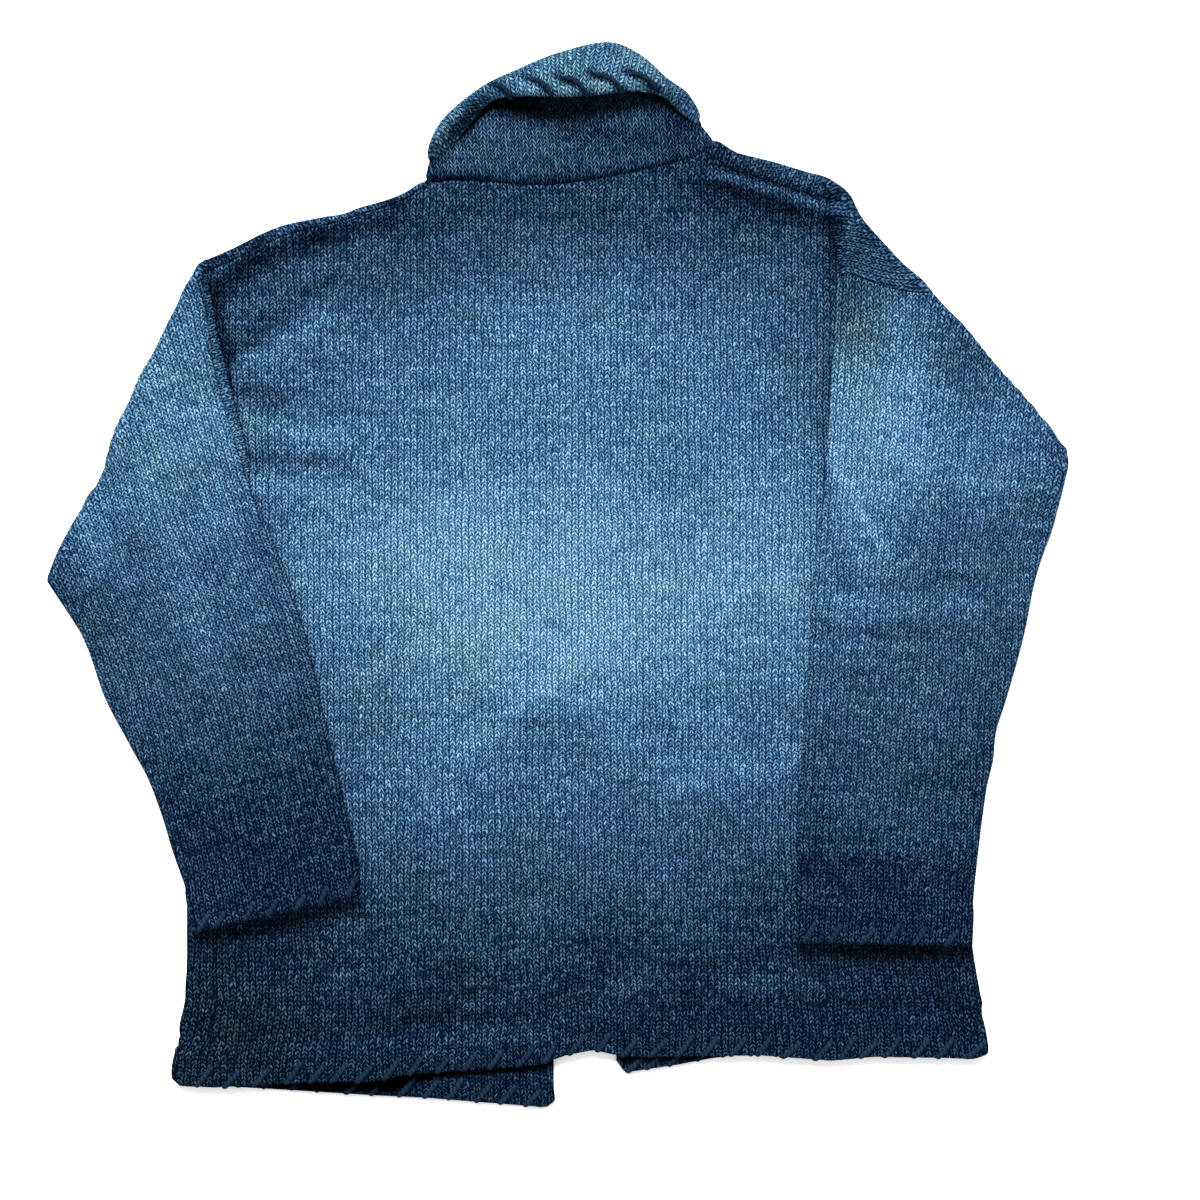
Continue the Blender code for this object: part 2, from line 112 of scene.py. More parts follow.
# Sleeves as they lie once folded, from the armhole to the cuff: inner x and y, outer x and y, puff, wall.
SLEEVE_LEFT = (
    (-256, 150, -370, -25, 0.0, CLOTH),
    (-244, 105, -354, -55, 1.5, CLOTH),
    (-225, 53, -341, -92, 2.5, CLOTH),
    (-203, 0, -322, -128, 2.5, CLOTH),
    (-189, -45, -309, -152, 2.5, CLOTH),
    (-178, -95, -299, -178, 2.5, CLOTH),
    (-164, -155, -289, -207, 2.5, CLOTH),
    (-152, -205, -280, -232, 1.0, CLOTH),
    (-150.5, -213, -279, -240, 0.0, HEM_CLOTH),
    (-149, -240, -274, -267, 0.0, HEM_CLOTH),
)
SLEEVE_RIGHT = (
    (205, 200, 377, 84, 0.0, CLOTH),
    (203, 140, 374, 40, 1.5, CLOTH),
    (200, 80, 359, -12, 2.5, CLOTH),
    (195, 35, 349, -48, 2.5, CLOTH),
    (189, -25, 336, -92, 2.5, CLOTH),
    (185, -90, 325, -128, 2.5, CLOTH),
    (181, -150, 317, -180, 2.5, CLOTH),
    (178.5, -205, 312, -222, 2.5, CLOTH),
    (178, -240, 310, -244, 1.0, CLOTH),
    (178, -249, 310, -252, 0.0, HEM_CLOTH),
    (177, -274, 309, -277, 0.0, HEM_CLOTH),
)
BLUNT = 0.7  # how broad their swell is
DRAPE = 14.0
DRAPE_DROP = 6.5
# The body's edge in x beside each folded sleeve, and the y below which the sleeve hangs over it.
LEFT_DRAPE = (-286.0, -5.0)
RIGHT_DRAPE = (317.0, 60.0)

# How the columns of stitches lean on the folded sleeves: y, and degrees to the right on the way down.
LEFT_LEAN = ((200, 14), (100, 16), (20, 22), (-60, 21), (-120, 13), (-260, 11))
RIGHT_LEAN = ((240, -4), (-270, -3))
LEAN_LEVELS = np.linspace(300, -300, 121)

# The collar's rings, from the neck seam over the roll to the rim.  Each has its name, the thickness
# and how far its dye has faded, then its points from the left front end over the back to the right one.
COLLAR_RINGS = (
    ("neck seam", CLOTH, -0.7,
     (-6, 203, 1.6), (-80, 275.5, 1.6), (-100.5, 292, 3.0), (-84, 295.5, 3.3), (-56, 295, 3.3),
     (-28, 292.2, 3.3), (0, 293.2, 3.3), (25, 296.2, 3.3), (50, 300.8, 3.3), (78, 307, 3.3),
     (98, 311.5, 3.3), (116, 317.5, 3.0), (85, 291, 1.5), (31, 209, 1.6)),
    ("bend above the seam", CLOTH, 0.10,
     (-7, 215, 1.6), (-78, 280, 1.6), (-98.8, 298.5, 4.8), (-82.5, 300.8, 8.0), (-55.5, 300.3, 8.2),
     (-27.5, 297.6, 8.2), (0.5, 298.5, 8.2), (25.5, 301.5, 8.2), (50.5, 305.9, 8.2), (78.5, 311.9, 8.2),
     (98, 316.3, 7.6), (116, 320, 4.6), (85, 295, 1.5), (31, 219, 1.6)),
    ("stand", CLOTH, 0.20,
     (-8, 252, 1.6), (-74, 291, 1.7), (-97.6, 303, 5.4), (-79, 311.5, 9.8), (-53, 322, 10.4),
     (-26, 322, 10.2), (1.5, 321, 9.8), (27, 323, 10.2), (52, 327, 10.4), (79.5, 329, 10.2),
     (97.5, 327, 9.0), (113, 326, 5.4), (83, 306, 1.5), (32, 254, 1.6)),
    ("upper stand", CLOTH, 0.08,
     (-10, 298, 2.0), (-60, 310, 3.0), (-96.5, 307, 5.8), (-71, 325.5, 10.2), (-47.5, 347, 12.5),
     (-23, 346, 10.8), (4, 339, 7.0), (30, 346, 11), (56, 350, 12.5), (78, 348, 12.5), (92, 340, 10.5),
     (108.5, 331.5, 5.4), (78, 321, 3.2), (30, 302, 2.0)),
    ("foot of the roll", CLOTH, -0.3,
     (-12, 322, 5.2), (-40, 331, 5.4), (-95, 309.5, 4.0), (-75.5, 329, 2.8), (-52.5, 353, 4.6),
     (-24, 362, 7.5), (4, 369, 8), (31, 375, 12), (57, 369, 13.5), (79, 356, 12), (92.5, 346, 7.5),
     (105, 335.5, 4.2), (66, 340, 5.4), (28, 322, 5.2)),
    ("roll", CLOTH, 0.50,
     (-12, 334, 3.4), (-44, 343, 3.6), (-94.3, 312.5, 4.8), (-88.3, 336, 8), (-59, 360.8, 14.5),
     (-29, 375.5, 17.5), (1, 387.6, 18), (36, 395.2, 18), (59.5, 386.6, 17.5), (80, 369.5, 15.5),
     (96.5, 358, 9.5), (103, 341, 4.8), (66, 350, 3.6), (28, 334, 3.4)),
    ("fall", CLOTH, 0.62,
     (-12, 330, 1.9), (-52, 338, 1.9), (-93.6, 313.5, 6.8), (-86, 337, 12), (-56.5, 361, 21),
     (-28, 371, 26), (1.5, 379, 27.5), (34.5, 386, 28), (58.5, 379, 27), (79, 364.5, 22.5),
     (94.5, 355, 15), (102.8, 340.5, 8.2), (71, 344, 1.9), (28, 330, 1.8)),
    ("doubled rim", 4.2, 0.66,
     (-12, 320, 1.8), (-65, 326, 1.9), (-92.4, 313, 7.0), (-80.5, 333.5, 11.5), (-54, 358, 21),
     (-27.5, 363.5, 27.5), (2, 366.5, 29), (31, 371.5, 29), (56, 369, 28), (77.5, 360.5, 23.5),
     (91.5, 350, 16), (102.3, 338.5, 8.4), (76, 338, 1.9), (28, 320, 1.8)),
    ("rim's edge", 5.0, 0.66,
     (-12, 310, 1.8), (-72, 316, 2.0), (-90.8, 311, 6.0), (-74, 328.5, 6.5), (-51, 352.5, 16),
     (-27, 355.2, 24.5), (2.5, 354.4, 25.5), (29, 356, 25.5), (54, 358.8, 24.5), (76.5, 357, 19.5),
     (89.5, 347, 12.5), (101.8, 336.5, 6.6), (82, 322, 2.0), (28, 309, 1.8)),
)
STAND_RINGS = (3.2, 4.4)  # between these ring numbers the stand's knit becomes the fall's
COLLAR_MIDDLE = 6  # station in the middle of the back
FALL_RING = 6.5  # the ring along which the fall's columns of stitches are even
FALL_START = 5.5  # the ring from which the fall's face is drawn in by its whip stitches
FALL_FROM = 0.8  # the share of the way down the sheet from which its face carries whip stitches
HIDDEN_RIM = 3.0  # thickness of the rim at the front ends, which lie under the body

# The knit: how wide its columns of stitches are, how far the stand's lean, and how high its rows are.
BACK_WALE = 4.84
SLEEVE_WALE = 4.65
STAND_WALE = 5.2
STAND_TILT = math.radians(4)
FALL_WALE = 6.3
ROW = 3.1

# The meshes: their spacing, finer over folds, the least gap, and the points along curves and sections.
STEP = 3.3
FINE_STEP = STEP / 4
LEAST_STEP = 0.05
EDGE_ANGLES = (0, 25, 50, 70, 90)
CURVE_POINTS = 60
ARMHOLE_POINTS = 90
SLEEVE_POINTS = 400
SLEEVE_ACROSS = 56
SLEEVE_ROUND = np.radians(np.linspace(0, 180, 11))[1:-1]
COLLAR_ROWS = 90
COLLAR_STEPS = 190


class Fold:
    """A straight fold: cloth outside the line turns half round an axis and lies down on the rest."""

    def __init__(self, edge, reach):
        start, end = (np.array(point, float) for point in edge)
        self.along = (end - start) / np.linalg.norm(end - start)
        self.out = np.array((-self.along[1], self.along[0]))
        self.point = start - reach * self.out

    def distance(self, xy):
        return (np.asarray(xy, float)[..., :2] - self.point) @ self.out

    def spread(self, xy, radius):
        """Where cloth that lies folded at xy is while it is still spread out."""
        xy = np.asarray(xy, float)
        step = math.pi * radius - 2 * self.distance(xy)
        return xy + step[..., None] * self.out

    def turn(self, points, axis, middle):
        """Rolls points past the line round the axis height; the cloth's own middle keeps its length."""
        distance = self.distance(points)
        radius = axis - middle
        angle = np.clip(distance / radius, 0, math.pi)
        arm = axis - points[..., 2]
        beyond = np.maximum(distance - math.pi * radius, 0)
        outside = distance > 0
        shift = np.where(outside, arm * np.sin(angle) - beyond - distance, 0)
        points[..., :2] += shift[..., None] * self.out
        points[..., 2] = np.where(outside, axis - arm * np.cos(angle), points[..., 2])


def layer(y):
    """Thickness of the body's cloth at y: single, or doubled in the hem."""
    return np.interp(y, (HEM_TOP, HEM_RAMP), (HEM_CLOTH, CLOTH))


def pinched(y):
    """The same with the soft groove where the turned hem is sewn down, a bell across y."""
    return layer(y) - GROOVE * np.exp(-((y - GROOVE_Y) / GROOVE_HALF) ** 2)


def wrap_axis(y):
    return layer(y) + EASE / 2


SINGLE_WRAP = (CLOTH + EASE) / 2
WRAP_REACH = CLOTH + EASE / 2
SLEEVE_AXIS = BODY + FOLD_AIR
SLEEVE_WRAP = SLEEVE_AXIS - BODY / 2
side_left = Fold(SIDE_LEFT, WRAP_REACH)
side_right = Fold(SIDE_RIGHT, WRAP_REACH)
shoulder_left = Fold(SHOULDER_LEFT, WRAP_REACH)
shoulder_right = Fold(SHOULDER_RIGHT, WRAP_REACH)
sleeve_fold_left = Fold(SLEEVE_FOLD_LEFT, SLEEVE_AXIS)
sleeve_fold_right = Fold(SLEEVE_FOLD_RIGHT, SLEEVE_AXIS)


# Curves and grids.
def smooth(control, count):
    """A curve through the control points (Catmull-Rom), sampled evenly in their numbering."""
    control = np.asarray(control, float)
    padded = np.concatenate((2 * control[:1] - control[1:2], control, 2 * control[-1:] - control[-2:-1]))
    place = np.linspace(0, len(control) - 1, count)
    first = np.minimum(place.astype(int), len(control) - 2)
    t = (place - first).reshape((-1,) + (1,) * (control.ndim - 1))
    a, b, c, d = (padded[first + k] for k in range(4))
    square, cube = 2 * a - 5 * b + 4 * c - d, 3 * b - a - 3 * c + d
    return 0.5 * (2 * b + (c - a) * t + square * t**2 + cube * t**3)


def travelled(line):
    steps = np.linalg.norm(np.diff(line, axis=0), axis=-1)
    return np.concatenate((np.zeros((1,) + steps.shape[1:]), np.cumsum(steps, axis=0)))


def along(line, shares):
    """Points of a polyline at these shares of its length."""
    line = np.asarray(line, float)
    run = travelled(line)
    return np.stack([np.interp(shares * run[-1], run, line[:, k]) for k in range(line.shape[1])], axis=-1)


def edge_round(distance, radius):
    """1 inside, falling to 0 at the border as a quarter circle does."""
    return np.sqrt(np.clip(1 - (1 - np.clip(distance / radius, 0, 1)) ** 2, 0, 1))


def places(length, low_radius, high_radius, fine=()):
    """Places along a length, a step apart, closer where an edge rounds over and in each fine stretch."""
    quarter = 1 - np.cos(np.radians(EDGE_ANGLES))
    parts = [low_radius * quarter, length - high_radius * quarter]
    parts.append(np.linspace(low_radius, length - high_radius, max(3, round(length / STEP))))
    for start, end in fine:
        parts.append(np.linspace(start, end, max(3, round((end - start) / FINE_STEP))))
    merged = np.sort(np.concatenate(parts).clip(0, length))
    return merged[np.concatenate(([True], np.diff(merged) > LEAST_STEP))]


def coons(left, right, bottom, top, s, t):
    """The patch between four lines: ruled across plus ruled along, less the patch of its corners.

    With s across and t along: (1-s) left + s right + (1-t) bottom + t top - the corners' mean by s and t.
    """
    left, right = along(left, t)[:, None], along(right, t)[:, None]
    low, high = along(bottom, s)[None], along(top, s)[None]
    s, t = s[None, :, None], t[:, None, None]
    corners = (1 - s) * (1 - t) * low[:, :1] + s * (1 - t) * low[:, -1:]
    corners = corners + (1 - s) * t * high[:, :1] + s * t * high[:, -1:]
    return (1 - s) * left + s * right + (1 - t) * low + t * high - corners


def quads(index, closed=False):
    """Corner numbers of the faces of a grid of vertex numbers."""
    if closed:
        index = np.concatenate((index, index[:, :1]), axis=1)
    corners = (index[:-1, :-1], index[:-1, 1:], index[1:, 1:], index[1:, :-1])
    return np.stack(corners, axis=-1).reshape(-1, 4)


def in_use(faces, flipped=False):
    """The vertices that the faces use, and the faces numbered by them, turned over if flipped."""
    used, faces = np.unique(faces[:, ::-1] if flipped else faces, return_inverse=True)
    return used, faces.reshape(-1, 4)


def two_faces(rounding, flipped=False):
    """Faces of an upper and a lower grid that share their vertices where the rounding comes down to 0."""
    index = np.arange(rounding.size).reshape(rounding.shape)
    under = np.where(rounding < 1e-6, index, index + rounding.size)
    return in_use(np.concatenate((quads(index), quads(under)[:, ::-1])), flipped)


def make_piece(name, points, faces, uv, material, facts):
    """One mesh in metres, with its UV map and smooth faces; facts are its attributes of dye, painted
    shade and green, by vertex.
    """
    mesh = bpy.data.meshes.new(name)
    mesh.vertices.add(len(points))
    mesh.vertices.foreach_set("co", (points * MM).astype(np.float32).ravel())
    mesh.loops.add(faces.size)
    mesh.loops.foreach_set("vertex_index", faces.astype(np.int32).ravel())
    mesh.polygons.add(len(faces))
    mesh.polygons.foreach_set("loop_start", np.arange(0, faces.size, 4, dtype=np.int32))
    mesh.update(calc_edges=True)
    layer_uv = mesh.uv_layers.new(name="stitches")
    layer_uv.data.foreach_set("uv", uv[faces.ravel()].astype(np.float32).ravel())
    for fact, values in facts.items():
        attribute = mesh.attributes.new(fact, "FLOAT", "POINT")
        attribute.data.foreach_set("value", values.astype(np.float32).ravel())
    mesh.materials.append(material)
    mesh.shade_smooth()
    mesh.validate()
    piece = bpy.data.objects.new(name, mesh)
    bpy.context.scene.collection.objects.link(piece)
    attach(piece, "root")
    return piece


# One whip stitch, as points along the edge, inwards, and up in half thicknesses of the edge: it starts
# inside the cloth under the edge, comes round it and goes back in on the face.
WHIP = (
    (-5, 7, -0.16), (-3, 4, -0.2), (-1.2, 2.0, -0.15), (-0.2, 1.2, 0.1), (1.2, 2.2, 0.7), (4, 5.2, 1.0),
    (7, 9, 1.05), (9.6, 12.3, 0.8), (11, 14, 0.1),
)
WHIP_REACH = 13.5
HEM_DENT_START = (0.5, 1.0)  # the trough under a whip stitch, from the stitch's place on the edge
HEM_DENT_END = (9.0, WHIP_REACH)
HEM_DENT = (3.4, -1.4)  # its half width and height
WHIP_UNEVEN = 0.12  # how unevenly they are sewn, as a share of their slant and reach
WHIP_POINTS = 25
WHIP_YARN = 2.1  # radii of the yarn
COLLAR_YARN = 1.7
YARN_SIDES = 10
ALONG_HEM = (1.0, 0.0, 0.0)  # directions that no stitch on a hem, or on the collar, runs along
ACROSS_RIM = (0.5, 0.86, 0.0)
YARN_END = 0.5  # the yarn's ends as a share of its radius
YARN_APART = 40.0  # mm of yarn from one stitch to the next, so that no two are alike
LEFT_CUFF_SLANT = 0.6
RIGHT_CUFF_SLANT = 0.9

# Where the panels' meshes are finer: from the back's hem, a front's side fold and its shoulder edge.
HEM_FINE = (2, WHIP_REACH + 4)
SIDE_FINE = np.array((-2, 14))
SHOULDER_FINE = np.array((-30, -2))

# Where the whip stitches start: x along the hems and cuffs, and the two ends of each on the collar's rim.
HEM_WHIPS = (
    -271, -250, -228, -204, -186, -170, -151, -131, -112, -91, -71, -52, -31, -11, 8, 29, 48, 68, 89, 108,
    129, 149, 168, 192, 211, 226, 244, 266, 284, 306,
)
FRONT_LEFT_WHIPS = (-262, -241, -222, -201, -182, -160, -141, -120, -101, -83, -62, -44, -25)
FRONT_RIGHT_WHIPS = (52, 66, 83, 104, 123, 144, 163, 184, 203, 224, 243, 264, 283, 302)
LEFT_CUFF_WHIPS = (-268, -255, -234, -216, -196, -178, -157)
RIGHT_CUFF_WHIPS = (183, 202, 225, 243, 264, 288)
COLLAR_WHIPS = (
    ((-48, 363.5), (-37, 356)),
    ((-22, 367), (-7, 357.5)),
    ((1, 368), (20, 357)),
    ((25, 370.5), (46, 359.5)),
    ((51, 371.5), (71, 361.5)),
)
COLLAR_WHIP_POINTS = 16
NEAREST = 4  # points of the face that give the yarn its height, by 1 / (their distance + CLOSE)
CLOSE = 0.1
COLLAR_BOW = (0.72, 0.02)  # where each bends, as shares of its way in x and y
COLLAR_PROUD = 0.2  # how far the yarn's middle stands above the face
COLLAR_SUNK = 2.0  # how far it dips into the cloth at its start, and over what share of its way
COLLAR_SUNK_OVER = 0.06
# From its end on the rim, how it goes on round the rim.
ROUND_RIM = np.array(((1.2, -1.3, -1.6), (1.6, -1.0, -3.8), (2.2, 1.5, -5.6)))
# What each of them does to the fall beside it, as half width and height for its own line and for the
# tuft of cloth to the left of its end: first the relief, then the painted shade along the stitch
# and the painted light on the tuft.
TUFT_START = 12
TUFT_UP = 3
COLLAR_DENTS = ((2.6, -1.6), (4.5, 1.8), 8)
COLLAR_SHADES = ((2.8, -0.7), (4.0, 0.35), 10)


# Where the cloth lies.
def settle(points, sag):
    """Hem edges sag and the sides flare, as the cloth was let down: each move fades out linearly."""
    x, y = points[..., 0].copy(), points[..., 1].copy()
    low = np.interp(y, (HEM_RAMP, SAG_START), (1, 0))
    points[..., 1] += low * np.interp(x, *zip(*sag))
    left = np.interp(x, (SIDE_SEAM_LEFT, -FLARE_START), (1, 0))
    right = np.interp(x, (FLARE_START, SIDE_SEAM_RIGHT), (0, 1))
    points[..., 0] += np.interp(y, *zip(*LEFT_FLARE)) * left
    points[..., 0] += np.interp(y, *zip(*RIGHT_FLARE)) * right


# Where the cloth bulges or is drawn in from its straight folds: middle x and y, reach, move in x and y.
BULGES = (
    (214, 285, 16, 5.0, 3.4),
    (160, 309, 45, 0.5, 2.6),
    (273, 224, 13, 1.6, 1.6),
    (300, 184, 34, 2.4, 2.4),
    (345, 135, 28, 1.0, 1.0),
    (214, 218, 28, 0.0, 8.0),
    (282, 222, 14, 2.5, 0.0),
    (382, 70, 17, 7.0, 0.5),
    (376, 106, 9, -0.5, -1.0),
    (380, 94, 7, -3.0, -0.5),
    (381, 78, 9, 3.0, 0.0),
    (379, 67, 8, 2.2, 0.0),
    (371, 46, 7, -1.2, 0.0),
    (364, 8, 42, -4.4, 0.0),
    (326, -138, 14, 2.4, 0.0),
    (-214, 262, 33, -1.0, 5.6),
    (-163, 273, 10, 0.0, -1.6),
    (-105, 292, 8, 0.0, 2.0),
    (-126, 283, 26, 0.0, -2.6),
    (-306, 162, 44, -2.2, 1.2),
    (-331, 112, 18, -2.4, 0.8),
    (-317, 146, 14, -1.4, 0.4),
    (-303, 170, 14, 0.8, -0.4),
    (-282, 214, 9, -0.8, 1.2),
    (-370, 34, 14, -1.2, 0.0),
    (-345, 74, 14, 3.0, -1.0),
    (-374, 14, 14, -1.8, 1.0),
    (-281, -312, 12, -1.2, 0.0),
    (-285, -338, 14, -2.4, 0.0),
    (-287, -345, 4, -1.6, 0.0),
    (-288, -354, 6, 1.2, 0.0),
    (-291, -371, 9, -1.4, 0.0),
    (-293, -388, 7, 3.2, 2.6),
    (315, -318, 15, 1.2, 0.0),
    (316, -324, 6, 1.4, 0.0),
    (319, -335, 5, -1.2, 0.0),
    (323, -354, 8, 1.2, 0.0),
    (323, -366, 6, -1.6, 1.6),
    (-5, -397, 7, 2.2, -2.6),
    (118, 317, 10, 0.0, 6.0),
    (-100, 296, 7, -0.5, 0.5),
)


def bulge(points):
    """Soft moves in plan, the same for every piece that lies there."""
    x, y = points[..., 0].copy(), points[..., 1].copy()
    for middle_x, middle_y, reach, across, up in BULGES:
        share = np.exp(-((x - middle_x) ** 2 + (y - middle_y) ** 2) / reach**2)
        points[..., 0] += across * share
        points[..., 1] += up * share


# Troughs and ridges of the lying cloth: from x and y, to x and y, half width, height.
BODY_CREASES = (
    (122, 291, 163, 276, 5, -3.0),
    (176, 272.5, 207, 264, 5.5, -2.8),
    (122, 305, 204, 279.8, 2.6, -1.8),
    (206, 262, 205, 226, 5, -1.6),
    (118, 299, 202, 274, 4.5, 4.2),
    (-258, 206, -229, 236, 6, -2.6),
    (-229, 236, -182, 252, 6, -2.6),
    (-182, 252, -130, 263, 6, -1.6),
    (-251, 229, -205, 257, 4, 2.0),
    (-205, 257, -135, 275, 4, 1.2),
    (-256, 212, -246, 160, 4, -1.4),
    (-222, 217, -146, 241, 9, 1.0),
    (-100, 286, -20, 284, 9, 0.8),
    (20, 286, 80, 297, 9, 0.8),
    (-252, 163, -172, 222, 7, -1.6),
    (-240, 150, -178, 188, 7, 1.2),
    (-248, 141, -206, 132, 6, -1.6),
    (-236, 114, -172, 103, 8, 1.5),
    (-234, 88, -160, 80, 7, -1.8),
    (-224, 66, -175, 60, 8, 1.0),
    (-42, -9, 8, -47, 3.5, -1.6),
    (-59, -124, 30, -50, 11, 1.2),
    (-20, -112, 22, -112, 6, -1.0),
    (98, -156, 176, -140, 10, 1.2),
    (70, -112, 96, -128, 7, -1.0),
    (-115, -337, -82, -330, 4.5, -2.4),
    (-250, -318, -120, -302, 14, 0.8),
    (60, -330, 300, -326, 10, -0.6),
    (60, -338, 310, -337, 2.6, -1.0),
    (-270, -360, -115, -339, 2.6, -0.9),
    (60, -312, 280, -306, 12, 0.8),
)
LEFT_SLEEVE_CREASES = (
    (-352, 72, -318, 20, 9, -0.8),
    (-300, 60, -262, -60, 12, 0.9),
    (-345, -60, -200, -62, 12, -0.6),
    (-262, 128, -240, 92, 6, 0.8),
    (-279, -238, -151, -213, 2.6, -0.7),
)
RIGHT_SLEEVE_CREASES = (
    (205, 84, 242, 16, 4.5, 1.6),
    (196, 60, 214, 0, 8, -0.9),
    (188, -43, 305, -43, 5, -1.2),
    (195, -20, 300, -24, 8, 0.7),
    (182, -217, 258, -216, 5, -0.9),
    (178, -248, 310, -251, 2.6, -0.7),
    (215, -11, 300, -4, 6, -0.6),
)


def hem_height(x, sag):
    return HEM_Y + np.interp(x, *zip(*sag))


def relief(x, y, creases):
    """Each crease is a bell across its line, and fades out past the line's two ends."""
    total = np.zeros_like(x)
    for x0, y0, x1, y1, half, height in creases:
        span = np.array((x1 - x0, y1 - y0), float)
        size = np.linalg.norm(span)
        along_line = ((x - x0) * span[0] + (y - y0) * span[1]) / size
        off_line = ((y - y0) * span[0] - (x - x0) * span[1]) / size
        past_end = np.maximum(np.maximum(-along_line, along_line - size), 0)
        total += height * np.exp(-(off_line / half) ** 2 - (past_end / (2 * half)) ** 2)
    return total


def whip_dents(xs, sag):
    """The dents that a hem's whip stitches pull into the cloth: a trough under the length of each."""
    (x0, y0), (x1, y1) = HEM_DENT_START, HEM_DENT_END
    edge = [(x, hem_height(x, sag)) for x in xs]
    return [(x + x0, y + y0, x + x1, y + y1, *HEM_DENT) for x, y in edge]


def crease(points, creases, low, high):
    """The relief of the creases, in full above the height high and none of it below low."""
    share = np.clip((points[..., 2] - low) / (high - low), 0, 1)
    points[..., 2] += relief(points[..., 0], points[..., 1], creases) * share


# Painted shade and light from the creases: troughs darker and ridges paler, by this much of the level for
# each mm of relief.
# A patch is a soft oval: middle x and y, reach across and along, its lean in degrees, what it adds.
CREASE_SHADE_PER_MM = 0.13
# The body's patches: mostly its uneven fading, with painted shade in the lines marked below.
BODY_DYE_AND_SHADE = (
    (0, 0, 430, 235, 0, 1.0),
    (-30, -10, 150, 70, -10, 0.20),
    (10, 195, 260, 75, 0, 0.28),
    (-215, 225, 60, 50, 0, -0.20),
    (-120, -180, 70, 50, 0, 0.10),
    (-150, -60, 45, 45, 0, -0.06),
    (140, -60, 45, 45, 0, -0.07),
    (60, 0, 35, 35, 0, -0.06),
    (0, -120, 50, 35, 0, -0.06),
    # painted shade: a thin dark line beside the left sleeve's inner edge
    (-254, 172, 4.5, 62, 11.6, -0.50),
    (-100, 205, 60, 40, 0, -0.07),
    (-115, 284, 50, 18, 0, -0.12),
    (-145, 282, 55, 6, 18, 0.30),
    # painted shade in the trough under the right shoulder seam
    (142, 282, 62, 14, -15, -0.20),
    (165, 307, 55, 8, -15.5, 0.30),
    # painted shadows under the two cuffs, this line and the next
    (-212, -263, 62, 7, 11, -0.40),
    (243, -284, 68, 7, 0, -0.40),
    (150, 20, 60, 120, 0, 0.05),
    (-260, -295, 60, 50, 0, -0.14),
    (275, -290, 70, 50, 0, -0.16),
    (235, 250, 30, 35, 0, -0.02),
    (-200, 200, 40, 40, 0, 0.22),
    (217, 262, 8, 14, 0, 0.25),
    (-60, -347, 70, 12, 0, 0.12),
    (15, 205, 80, 40, 0, 0.06),
    (180, 0, 50, 70, 0, 0.12),
    (-20, -55, 70, 40, 0, 0.08),
    (10, -180, 270, 70, 0, 0.07),
    (0, -245, 130, 30, 0, 0.06),
    # painted shade beside the right sleeve's inner edge
    (201, 120, 8, 130, -2, -0.14),
)
BODY_FADE = -0.18
# The left sleeve's patches: its uneven fading, with one line of painted shade.
LEFT_SLEEVE_DYE_AND_SHADE = (
    (-290, 140, 120, 130, 0, 0.79),
    (-265, -40, 110, 115, 20, 0.40),
    (-205, -60, 40, 60, 20, 0.10),
    (-330, -85, 45, 60, 20, 0.14),
    (-347, 34, 30, 34, 0, 0.30),
    (-250, 36, 24, 40, 20, 0.08),
    (-290, 20, 40, 60, 0, -0.10),
    # painted shade: a thin dark line along the sleeve's inner edge
    (-254, 172, 4.5, 62, 11.6, -0.40),
    (-240, -185, 110, 45, 0, 0.05),
)
LEFT_FADE = -0.085
RIGHT_SLEEVE_DYE = (
    (235, 130, 100, 95, 0, 0.68),
    (330, 110, 70, 90, 0, 0.14),
    (220, -20, 180, 180, 0, 0.59),
    (295, 30, 50, 45, 0, -0.14),
    (262, 200, 30, 30, 0, 0.16),
    (296, 150, 28, 36, 0, -0.16),
    (352, 80, 40, 60, 0, 0.24),
    (214, 20, 30, 60, 0, 0.12),
    (338, -10, 40, 60, 0, 0.14),
    (250, -180, 110, 45, 0, 0.08),
)
RIGHT_FADE = -0.165
# The collar's patches: its uneven fading, with painted shade in the hollow marked below.
COLLAR_DYE_AND_SHADE = (
    (25, 392, 40, 9, 0, -0.12),
    (-32, 370, 22, 10, 20, -0.12),
    # painted shade in the hollow where the fall turns round the left of the neck
    (-72, 337, 30, 6, 46, -0.85),
    (-93, 315, 10, 7, 60, -0.30),
    (92, 352, 24, 20, 0, -0.30),
    (-50, 320, 40, 22, 0, 0.12),
    (15, 336, 40, 12, 0, -0.10),
)
# The stand's patches: some fading, with the painted shadow under the fall's rim marked below.
STAND_SHADE_AND_DYE = (
    (55, 322, 40, 14, 5, -0.10),
    (68, 341, 26, 8, 0, 0.14),
    # painted shadow under the fall's rim, this line and the next
    (-36, 350.5, 25, 5.5, -6, -0.9),
    (25, 350, 45, 6, 6, -0.35),
)
# Painted shadow on the fronts' flaps and their whip stitches, close under the back's hem:
# lines as the creases have them, in full up to a height and gone above it.
FLAP_SHADOW = (
    (-238, -384, -185, -383, 4.0, -0.7),
    (-182, -383.5, -130, -382, 6.0, -1.2),
    (-126, -381, -102, -376, 4.5, -0.9),
    (-98, -374.5, -12, -368.5, 3.8, -0.9),
    (46, -361.5, 108, -362, 3.2, -0.8),
)
FLAP_TOP = 9.0
FLAP_FADES_OVER = 1.5
# Where it has turned a little green, as patches.
BODY_GREEN = ((-255, -350, 60, 50, 0, 1.4), (-90, -60, 70, 60, 0, 0.6), (-60, -300, 160, 60, 0, 0.4))
SLEEVE_GREEN = (
    (222, 185, 20, 50, 0, 1.7),
    (-310, 130, 60, 90, 0, 0.5),
    (240, -230, 120, 60, 0, -0.6),
    (-210, -220, 100, 60, 0, -0.6),
)
COLLAR_GREEN = ((0, 380, 140, 30, 0, 1.0), (-85, 330, 25, 25, 0, 0.7))


